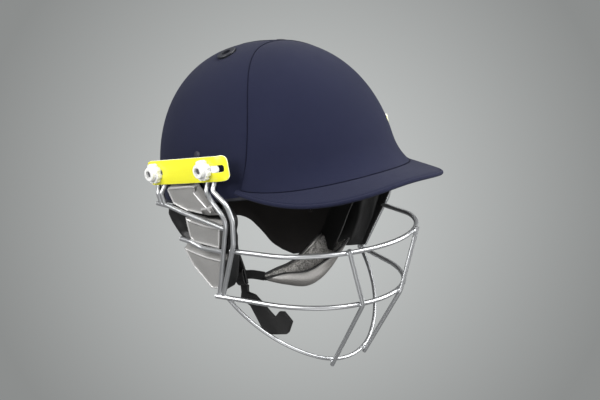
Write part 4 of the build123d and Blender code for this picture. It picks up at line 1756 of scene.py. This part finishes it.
    def _paint_pad(self, pad: Piece, rings: Sequence[Sequence[Vector]],
                   normals: Sequence[Vector]) -> None:
        """Gives the back of a pad its own finish, paints a highlight on its ridge with a lighter finish and
        paints shade on its forward and rearward flanks with a darker finish.

        Args:
            pad: The pad.
            rings: The rings that it was made from.
            normals: Directions out of its outline.
        """
        for finish in (PAD, PAD_BACK, PAD_RIDGE_HIGHLIGHT, PAD_FLANK_SHADE):
            pad.data.materials.append(finish.material())
        count = len(normals)
        where = KDTree(len(rings) * count)
        for number, points in enumerate(rings):
            for step, point in enumerate(points):
                where.insert(point, number * count + step)
        where.balance()
        for face in pad.data.polygons:
            found = [where.find(pad.data.vertices[index].co)[1] for index in face.vertices]
            strip = min(index // count for index in found)
            facing = sum(normals[index % count].x for index in found) / len(found)
            # Bevel strips facing forward or back get the darker finish, painted shade
            shaded_front_flank = strip in self.shaded_front_strips and facing > self.shaded_front_facing
            shaded_rear_flank = strip in self.shaded_rear_strips and facing < self.shaded_rear_facing
            if strip in self.back_strips:
                face.material_index = 1
            # Faces of the ridge get the lighter finish, a painted highlight
            elif strip in self.highlight_strips:
                face.material_index = 2
            elif shaded_front_flank or shaded_rear_flank:
                face.material_index = 3

    def _pad(self, size: EarPad) -> Piece:
        """One moulded pad of the wearer's left, with a bevelled ridge on the side that its lead points to.

        Args:
            size: The pad's sizes.

        Returns:
            The pad, with its finishes.
        """
        corners = [(size.rear_x + x * size.length, size.top_z + z * size.height) for x, z in size.shares]
        outline = rounded_outline(corners, self.pad_corner)
        normals = outline_normals(outline)
        widths = self._bevel_widths(normals, size)
        centre = sum(outline, Vector((0, 0))) / len(outline)
        bounds = list(zip(outline, normals, widths))
        rings = [[self._on_side(*(point - normal * (width * share + extra)), depth, Side.LEFT)
                  for point, normal, width in bounds] for share, extra, depth in self.pad_walls]
        rings += [[self._on_side(*((point - normal * width).lerp(centre, share)), depth, Side.LEFT)
                   for point, normal, width in bounds] for share, depth in self.pad_face]
        pad = ring_solid(f"ear_pad_{size.name}_moulded_left", rings)
        self._paint_pad(pad, rings, normals)
        if size.ceiling is not None:
            for vertex in pad.data.vertices:
                if vertex.co.z > size.ceiling - self.ceiling_run and vertex.co.y < self.ceiling_y:
                    vertex.co.y = self.ceiling_y
        round_edges(pad, self.pad_rounding, self.pad_bevel_limit)
        smooth(pad, self.pad_crease)
        return pad

    def build_pads(self) -> None:
        """Three ear pads on each side."""
        for size in self.pads:
            name = size.name
            left = self._pad(size)
            right = mirrored(left, f"ear_pad_{name}_moulded_right", self.pad_crease)
            for side, pad in ((Side.LEFT, left), (Side.RIGHT, right)):
                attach(pad, "face_guard")
                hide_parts(f"ear_pad_{name}_{side.word}")
        log.info("face guard: six ear pads with bevelled ridges")

    def _cushion_point(self, across: float, down: float, side: Side) -> Vector:
        """Point of the middle surface of the cushion of one side.

        Args:
            across: Share across, from its rear edge.
            down: Share down, from its top.
            side: Side of the wearer.

        Returns:
            The point.
        """
        rows, split = self.cushion_rows, self.pads_share
        spot = down * (len(rows) - 1)
        first = min(int(spot), len(rows) - 2)
        z, rear, pads, front = (a + (b - a) * (spot - first) for a, b in zip(rows[first], rows[first + 1]))
        front += self.cushion_leads[0 if side is Side.LEFT else 1]
        if across < split:
            x = rear + (pads - rear) * across / split
        else:
            x = pads + (front - pads) * (across - split) / (1 - split)
        depth = self.cushion_depth + self.cushion_sink * ease(-(z + 0.006) / 0.020)
        forward = (depth - self.cushion_front_depth) * ease((across - 0.69) / 0.16)
        depth -= forward + (depth - self.cushion_rear_depth) * ease((0.10 - across) / 0.10)
        return self._on_side(x, z, depth, side)

    def _cushion_fullness(self, column: int, row: int) -> float:
        """Share of a cushion's thickness, less at its edges, its fold and its front.

        Args:
            column: Column of the grid's vertices.
            row: Row of the grid's vertices.

        Returns:
            The share.
        """
        columns, rows = self.cushion_grid
        inner = min(column, columns - column, row * 1.2, (rows - row) * 1.2) / 5
        fold = 1 - 0.45 * math.exp(-((row / rows - 0.42) / 0.035) ** 2)
        thin = 1 - 0.62 * ease((column / columns - 0.70) / 0.12)
        return (0.18 + 0.82 * math.sqrt(min(inner, 1.0))) * fold * thin * (0.62 + 0.38 * ease(row / 9))

    def build_cushion(self, side: Side) -> None:
        """Black padded cushion behind the three pads of one side, out to the front rod.

        Args:
            side: Side of the wearer.
        """
        cushion = laid_grid(f"ear_cushion_{side.word}", *self.cushion_grid,
                            lambda across, down: self._cushion_point(across, down, side), self.cushion_map)
        shares = grid_shares(*self.cushion_grid, self._cushion_fullness)
        thicken(cushion, self.cushion_thickness, 0.0, shares, 0.05)
        subdivide(cushion)
        turn_outward(cushion)
        smooth(cushion, 60)
        CUSHION.dress(cushion)
        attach(cushion, "face_guard")

    def _bead(self, name: str, places: Sequence[tuple[Vector, Vector]]) -> None:
        """Weld beads of one joint group, each a squashed drop along a direction.

        Args:
            name: The piece's name.
            places: Place and direction of each bead.
        """
        beads = []
        for index, (place, along) in enumerate(places):
            deselect()
            bpy.ops.mesh.primitive_uv_sphere_add(segments=14, ring_count=8, radius=self.bead_radius)
            bead = named(f"{name}_{index}")
            turn = UPWARD.rotation_difference(along.normalized()).to_matrix().to_4x4()
            for vertex in bead.data.vertices:
                ripple = 1 + 0.08 * math.sin(vertex.co.z * 5200 + index)
                vertex.co = Vector((vertex.co.x * ripple, vertex.co.y * ripple, vertex.co.z * self.bead_length))
            bead.data.transform(Matrix.Translation(place) @ turn)
            beads.append(bead)
        deselect()
        for bead in beads:
            bead.select_set(True)
        bpy.context.view_layer.objects.active = beads[0]
        bpy.ops.object.join()
        welds = named(name)
        smooth(welds, 60)
        ZINC.dress(welds)
        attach(welds, "face_guard")

    def build_welds(self) -> None:
        """Weld beads where the wires cross."""
        arcs = (self.top_arc, self.middle_arc, self.chin_arc)
        for side in Side:
            s = side.value
            places = []
            for arc, y in zip(arcs, self.bar_beads):
                inner = arc.beside(y, self.bead_inset)
                places.append((Vector((inner.x, s * inner.y, inner.z)), Vector((0.25, s, 0))))
            for x, z in self.side_beads:
                height = z * self.side_drop
                y = self.half_width + math.tan(self.lean) * height - self.bead_sink
                places.append((Vector((x * self.side_length, s * y, height)), Vector((1, 0, -0.2))))
            self._bead(f"weld_beads_{side.word}", places)
        log.info("face guard: weld beads at the wire crossings")

    def build(self) -> None:
        """Pads, cushions and welds."""
        self.build_pads()
        for side in Side:
            self.build_cushion(side)
        self.build_welds()


# ---- the chin strap


@dataclass(frozen=True)
class WebLeg:
    """One run of webbing: its route, its width and the direction that its width follows."""

    name: str
    node: str
    route: tuple[Point, ...]
    width: float
    flat: Point
    rows: int = 40


@dataclass
class ChinStrap:
    """Webbing, chin cup and its lining."""

    web: float = 0.0016
    cup_wall: float = 0.0022
    cup_hang: Point = (0.15, 0.0, -0.989)
    # Sections of the cup: Y, X and Z of the lip's middle, width, depth, and tilt in degrees
    sections: tuple[tuple[float, ...], ...] = (
        (-0.050, 0.0160, -0.0860, 0.0090, 0.0025, 20), (-0.025, 0.0115, -0.0868, 0.0141, 0.0125, 23),
        (0.0, 0.0120, -0.0880, 0.0215, 0.0180, 34), (0.025, 0.0150, -0.0795, 0.0270, 0.0175, 46),
        (0.050, 0.0165, -0.0690, 0.0380, 0.0095, 10))
    cup_grid: tuple[int, int] = (24, 56)
    cup_map: Pair = (0.05, 0.11)
    cup_least: float = 0.0006
    roll_radius: float = 0.0014
    fleece_grid: tuple[int, int] = (40, 110)
    fleece_thickness: float = 0.0024
    fleece_gap: float = 0.0013
    tail_start: Pair = (-0.004, -0.0907)
    tail_y: float = -0.0604
    tail_corner: float = 0.0012
    tail_run: float = 0.003
    tail_wave: float = 0.0004
    tail_wave_turns: float = 160
    tail_length: float = 0.062
    tail_drop: float = 0.048
    # Rings of the tail through its thickness: an inset and a place across
    tail_rings: tuple[Pair, ...] = (
        (0.0012, -0.0015), (0.0004, -0.0014), (0.0, -0.0009), (0.0, -0.0002), (0.00035, 0.0), (0.0, 0.0002),
        (0.0, 0.0009), (0.0004, 0.0014), (0.0012, 0.0015))
    tail_shares: tuple[Pair, ...] = (
        (-0.04, 0), (0.12, 0), (0.09, -0.15), (0.24, -0.20), (0.40, -0.37), (0.50, -0.48), (0.63, -0.63),
        (0.75, -0.51), (0.85, -0.51), (1.0, -0.70), (0.87, -0.92), (0.81, -0.965), (0.35, -1.0), (0.31, -0.985),
        (0.09, -0.43), (-0.10, -0.30), (-0.05, -0.14))
    legs: tuple[WebLeg, ...] = (
        WebLeg("strap_left_web", "strap_leg_left",
               ((0.034, 0.0804, 0.013), (0.034, 0.0803, 0.003), (0.0345, 0.0793, -0.004),
                (0.0175, 0.063, -0.042), (0.013, 0.051, -0.062), (0.008, 0.039, -0.079)), 0.025,
               (1.0, 0.15, 0.0)),
        WebLeg("strap_right_web", "strap_leg_right",
               ((-0.006, -0.0843, 0.013), (-0.006, -0.0836, 0.003), (-0.0055, -0.0815, -0.004),
                (-0.0045, -0.0675, -0.044), (-0.004, -0.0604, -0.0752)), 0.014, (1.0, 0.0, 0.0)),
        WebLeg("strap_rear_web", "strap_rear_leg",
               ((-0.029, -0.065, -0.053), (-0.0275, -0.060, -0.066), (-0.0235, -0.0586, -0.0765),
                (-0.018, -0.0594, -0.081), (-0.0114, -0.0604, -0.081)), 0.012, (1.0, -0.3, 1.0)),
        WebLeg("strap_cup_web", "cup_strap", ((0.0015, -0.0604, -0.081), (0.0080, -0.0560, -0.0818),
                                              (0.0160, -0.0490, -0.0852)), 0.0085, (0.0, 0.0, 1.0), 16),
    )
    turn: WebLeg = WebLeg(
        "strap_buckle_turn", "strap_slider",
        ((-0.0040, -0.0606, -0.0745), (-0.0040, -0.0630, -0.0775), (-0.0040, -0.0632, -0.0830),
         (-0.0040, -0.0630, -0.0880), (-0.0040, -0.0608, -0.0915)), 0.0115, (1.0, 0.0, 0.0))

    def build_leg(self, leg: WebLeg) -> Piece:
        """One run of webbing: a thin strip with rounded edges along its route.

        Args:
            leg: The run.

        Returns:
            The strip, dressed.
        """
        def place(across: float, along: float) -> Vector:
            """Point of the strip's middle surface.

            Args:
                across: Share of the width.
                along: Share of the route.

            Returns:
                The point.
            """
            point, ahead = smooth_route(leg.route, along)
            flat = Vector(leg.flat)
            flat = (flat - ahead * flat.dot(ahead)).normalized()
            ripple = 0.00012 * math.sin(along * 34 + across * 2)
            return point + flat * leg.width * (across - 0.5) + flat.cross(ahead) * ripple

        strap = laid_grid(leg.name, 8, leg.rows, place, (leg.width, route_length(leg.route)))
        thicken(strap, self.web, 0.0)
        round_edges(strap, 0.00045)
        turn_outward(strap)
        smooth(strap, 45)
        WEBBING.dress(strap)
        return strap

    def build_legs(self) -> None:
        """All runs of webbing."""
        for leg in self.legs:
            strap = self.build_leg(leg)
            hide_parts(leg.node)
            if leg.node == "strap_rear_leg":
                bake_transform(strap)
            else:
                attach(strap, "chin_strap")
        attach(self.build_leg(self.turn), "chin_strap")
        log.info("chin strap: %d runs of webbing", len(self.legs) + 1)

    def build_tail(self) -> None:
        """Free end of the webbing, folded into a tick."""
        corners = [(self.tail_start[0] + x * self.tail_length, self.tail_start[1] + z * self.tail_drop)
                   for x, z in self.tail_shares]
        outline = rounded_outline(corners, self.tail_corner, steps=2, run=self.tail_run)
        normals = outline_normals(outline)
        waves = [self.tail_wave * math.sin(point.x * self.tail_wave_turns) for point in outline]
        rings = [[Vector((p.x - n.x * inset, self.tail_y + out + wave, p.y - n.y * inset))
                  for p, n, wave in zip(outline, normals, waves)] for inset, out in self.tail_rings]
        tail = ring_solid("strap_tail_folded", rings)
        with editing(tail):
            bpy.ops.uv.cube_project(cube_size=1.0, scale_to_bounds=False)
        smooth(tail, 40)
        WEBBING.dress(tail)
        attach(tail, "chin_strap")
        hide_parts("strap_tail")
        log.info("chin strap: folded tail")

    def _section(self, share: float) -> tuple[Vector, float, float, float]:
        """Section of the cup at a share across.

        Args:
            share: Share across, from the wearer's right to the left.

        Returns:
            The lip's middle, half the width, the depth and the tilt in radians.
        """
        spans = len(self.sections) - 1
        span = min(int(share * spans), spans - 1)
        rows = [self.sections[min(max(span + k, 0), spans)] for k in (-1, 0, 1, 2)]
        y, x, z, width, depth, tilt = (curved(*values, share * spans - span) for values in zip(*rows))
        return Vector((x, y, z)), width / 2, depth, math.radians(tilt)

    def cup_point(self, across: float, along: float, inset: float) -> Vector:
        """Point of the cup's wall, an inset inside its outer face.

        Args:
            across: Share across the section, from its rear lip.
            along: Share from the right to the left.
            inset: Depth inside the outer face.

        Returns:
            The point.
        """
        place, half, depth, tilt = self._section(along)
        half, depth = half - inset, max(depth - inset, self.cup_least)
        radius = (half ** 2 + depth ** 2) / (2 * depth)
        sweep = math.asin(min(half / radius, 1.0))
        sweep = sweep if depth <= half else math.pi - sweep
        angle = (2 * across - 1) * sweep
        sideways, down = radius * math.sin(angle), depth - radius + radius * math.cos(angle)
        return place + Vector((math.cos(tilt), 0, -math.sin(tilt))) * sideways + Vector(self.cup_hang) * down

    def _fleece_point(self, across: float, along: float) -> Vector:
        """Point of the fleece's middle surface, a gap inside the cup's wall.

        Args:
            across: Share across the section.
            along: Share from the right to the left.

        Returns:
            The point.
        """
        rise = 0.0003 * math.sin(along * 90 + across * 31) * math.sin(along * 37 - across * 60)
        inset = self.cup_wall + self.fleece_gap
        return self.cup_point(0.04 + 0.92 * across, 0.02 + 0.96 * along, inset) + UPWARD * rise

    def build_cup(self) -> None:
        """Satin cup, its black edge roll and its fleece."""
        middle = self.cup_wall / 2
        cup = laid_grid("chin_cup_shell", *self.cup_grid,
                        lambda across, along: self.cup_point(across, along, middle), self.cup_map)
        thicken(cup, self.cup_wall, 0.0)
        round_edges(cup, 0.0004)
        turn_outward(cup)
        smooth(cup, 45)
        CUP.dress(cup)
        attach(cup, "chin_strap")
        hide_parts("chin_cup")
        long_steps, short_steps = 40, 12
        edge = [(0.0, step / long_steps) for step in range(long_steps + 1)]
        edge += [(step / short_steps, 1.0) for step in range(1, short_steps)]
        edge += [(1 - across, 1 - along) for across, along in edge]
        line = [self.cup_point(across, along, middle) for across, along in edge]
        roll = tube("cup_edge_roll", line, self.roll_radius, closed=True)
        BINDING.dress(roll)
        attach(roll, "chin_strap")
        lining = laid_grid("cup_fleece", *self.fleece_grid, self._fleece_point, self.cup_map)
        thicken(lining, self.fleece_thickness, 0.0)
        subdivide(lining)
        turn_outward(lining)
        smooth(lining, 70)
        FLEECE.dress(lining)
        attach(lining, "chin_strap")
        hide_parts("cup_lining")
        log.info("chin strap: cup, edge roll and fleece")

    def build(self) -> None:
        """All of the chin strap."""
        self.build_legs()
        self.build_tail()
        self.build_cup()


# ---- carried nodes and the studio


@dataclass(frozen=True)
class CarriedNodes:
    """CAD nodes whose shape is right, with the finish of each family."""

    families: tuple[tuple[Finish, tuple[str, ...]], ...] = (
        (SHELL, ("shell",)), (EDGE, ("rim_binding",)), (EYELET, ("vent_grommet",)), (STUD, ("apron_stud",)),
        (MOUNT, ("plate_mount", "strap_anchor", "strap_slider")), (BOLT, ("front_bolt", "rear_bolt")),
        (WHITE, ("slot_slider", "front_nut", "rear_nut")),
        (ZINC, ("top_bar", "mid_bar", "chin_bar", "front_upright", "side_rods", "rear_hairpin",
                "upper_cross_bar", "lower_cross_bar")))

    def dress(self, nodes: dict[str, Piece]) -> None:
        """Dresses each node of the families.

        Args:
            nodes: The CAD nodes by name.
        """
        count = 0
        for name, node in nodes.items():
            family = name.removesuffix("_left").removesuffix("_right")
            for finish, members in self.families:
                if family in members:
                    finish.dress(node)
                    count += 1
        log.info("carried nodes: %d dressed", count)


@dataclass(frozen=True)
class SoftLight:
    """One soft panel light, placed to the right, up and back as the camera sees it."""

    name: str
    offsets: Point
    size: float
    power: float


@dataclass
class Studio:
    """Camera, lights, and the pale floor that rises into a backdrop and glows with a painted pool of light."""

    azimuth: float = 40.5
    elevation: float = 4.4
    roll: float = 10.25
    distance: float = 1.219
    target: Point = (0.0, 0.0, 0.040)
    target_pixel: Pair = (268.4, 137.8)
    frame: Pair = (600.0, 400.0)
    pixels_per_metre: float = 1030.0
    floor_z: float = -0.55
    bowl_radius: float = 3.6
    # Painted pool of light on the glowing floor: its brightness in the middle, its falloff, its least level and
    # its tint
    glow: float = 0.5675
    falloff: float = 16.1
    dimmest: float = 0.27
    tint: Colour = (0.970, 1.0, 0.990)
    sensor: float = 36.0
    lit_centre: Point = (0.03, 0.0, -0.02)
    lights: tuple[SoftLight, ...] = (
        SoftLight("key", (0.75, 0.85, 0.95), 0.9, 20.0), SoftLight("fill", (-1.20, 0.62, 0.9), 1.1, 28.0),
        SoftLight("top", (0.0, 1.3, -0.25), 0.9, 11.0), SoftLight("low", (0.0, -0.9, 1.0), 1.0, 4.0),
        SoftLight("rim", (1.2, 0.3, 0.1), 0.8, 14.0))
    world_colour: tuple[float, float, float, float] = (0.80, 0.81, 0.82, 1.0)
    world_strength: float = 0.26
    least_cosine: float = 0.02

    def axes(self) -> tuple[Vector, Vector, Vector]:
        """Right, up and back of a camera that looks straight at the target.

        Returns:
            The three unit directions.
        """
        a, e, r = (math.radians(value) for value in (self.azimuth, self.elevation, self.roll))
        back = Vector((math.cos(a) * math.cos(e), -math.sin(a) * math.cos(e), math.sin(e)))
        right = Vector((math.sin(a), math.cos(a), 0.0))
        up = back.cross(right)
        return right * math.cos(r) - up * math.sin(r), right * math.sin(r) + up * math.cos(r), back

    def eye(self) -> Vector:
        """Place of the camera."""
        return Vector(self.target) + self.axes()[2] * self.distance

    def aimed(self) -> Matrix:
        """Axes of the camera, turned so that the target is off the middle as in the photograph.

        Returns:
            The axes as the columns of a matrix.
        """
        focal = self.pixels_per_metre * self.distance
        across = self.target_pixel[0] - self.frame[0] / 2
        aim = Vector((across, self.frame[1] / 2 - self.target_pixel[1], -focal))
        turn = aim.rotation_difference(Vector((0, 0, -1))).to_matrix()
        return Matrix(self.axes()).transposed() @ turn

    def build_camera(self) -> None:
        """Camera at the photograph's angle."""
        data = bpy.data.cameras.new("camera")
        data.sensor_width = self.sensor
        data.lens = self.pixels_per_metre * self.distance * self.sensor / self.frame[0]
        camera = bpy.data.objects.new("camera", data)
        bpy.context.scene.collection.objects.link(camera)
        camera.matrix_world = Matrix.Translation(self.eye()) @ self.aimed().to_4x4()
        bpy.context.scene.camera = camera
        bpy.context.scene.view_settings.view_transform = "Standard"

    def build_lights(self) -> None:
        """Soft panels round the object, and an even world."""
        right, up, back = self.axes()
        centre = Vector(self.lit_centre)
        for light in self.lights:
            data = bpy.data.lights.new(light.name, "AREA")
            data.size = light.size
            data.energy = light.power
            lamp = bpy.data.objects.new(light.name, data)
            lamp.location = centre + right * light.offsets[0] + up * light.offsets[1] + back * light.offsets[2]
            lamp.rotation_mode = "QUATERNION"
            lamp.rotation_quaternion = (lamp.location - centre).to_track_quat("Z", "Y")
            bpy.context.scene.collection.objects.link(lamp)
        world = bpy.data.worlds.new("studio")
        world.use_nodes = True
        shade = world.node_tree.nodes["Background"]
        shade.inputs[0].default_value = self.world_colour
        shade.inputs[1].default_value = self.world_strength
        bpy.context.scene.world = world

    def build_stage(self) -> None:
        """Pale floor that rises into a backdrop and glows, with a painted pool of light round the camera's line
        of sight.
        """
        deselect()
        bpy.ops.mesh.primitive_uv_sphere_add(segments=64, ring_count=32, radius=self.bowl_radius)
        bowl = named("floor")
        for vertex in bowl.data.vertices:
            vertex.co.z = max(vertex.co.z, self.floor_z)
        merge_doubles(bowl)
        turn_outward(bowl, inside=True)
        smooth(bowl, 80)
        bowl.visible_diffuse = False
        bowl.visible_glossy = False
        bowl.visible_shadow = False
        material = bpy.data.materials.new("pale_floor_painted_light_pool")
        material.use_nodes = True
        tree = material.node_tree
        tree.nodes.clear()
        wiring = Wiring(tree)
        spots = wiring.add("ShaderNodeTexCoord")
        away = wiring.add("ShaderNodeVectorMath", {0: spots.outputs["Object"], 1: tuple(self.eye())},
                          operation="SUBTRACT")
        unit = wiring.add("ShaderNodeVectorMath", {0: away.outputs[0]}, operation="NORMALIZE")
        along = wiring.add("ShaderNodeVectorMath", {0: unit.outputs[0], 1: tuple(self.aimed().col[2])},
                           operation="DOT_PRODUCT")
        # Painted pool of light: the glow falls off with the angle from the camera's line of sight
        cosine = wiring.math("MULTIPLY", along.outputs["Value"], along.outputs["Value"])
        inverse = wiring.math("DIVIDE", 1.0, wiring.math("MAXIMUM", cosine, self.least_cosine))
        spread = wiring.math("SUBTRACT", inverse, 1.0)
        painted_falloff = wiring.math("DIVIDE", self.glow, wiring.math("MULTIPLY_ADD", spread, self.falloff, 1.0))
        level = wiring.math("MAXIMUM", painted_falloff, self.dimmest)
        tint = wiring.add("ShaderNodeVectorMath", {0: self.tint, "Scale": level}, operation="SCALE")
        light = wiring.add("ShaderNodeEmission", {"Color": tint.outputs[0], "Strength": 1.0})
        wiring.add("ShaderNodeOutputMaterial", {"Surface": light.outputs[0]})
        bowl.data.materials.append(material)

    def build(self) -> None:
        """Camera, lights and stage."""
        self.build_camera()
        self.build_lights()
        self.build_stage()
        log.info("studio: camera, lights and floor")


def main() -> None:
    """Builds the scene round the frame."""
    logging.basicConfig(level=logging.INFO, format="%(name)s: %(message)s")
    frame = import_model()
    Studio().build()
    CarriedNodes().dress(frame["nodes"])
    ClothCover().build()
    SidePlates().build()
    Lining().build()
    Apron().build()
    FaceGuard().build()
    ChinStrap().build()
    deselect()


if __name__ == "__main__":
    main()
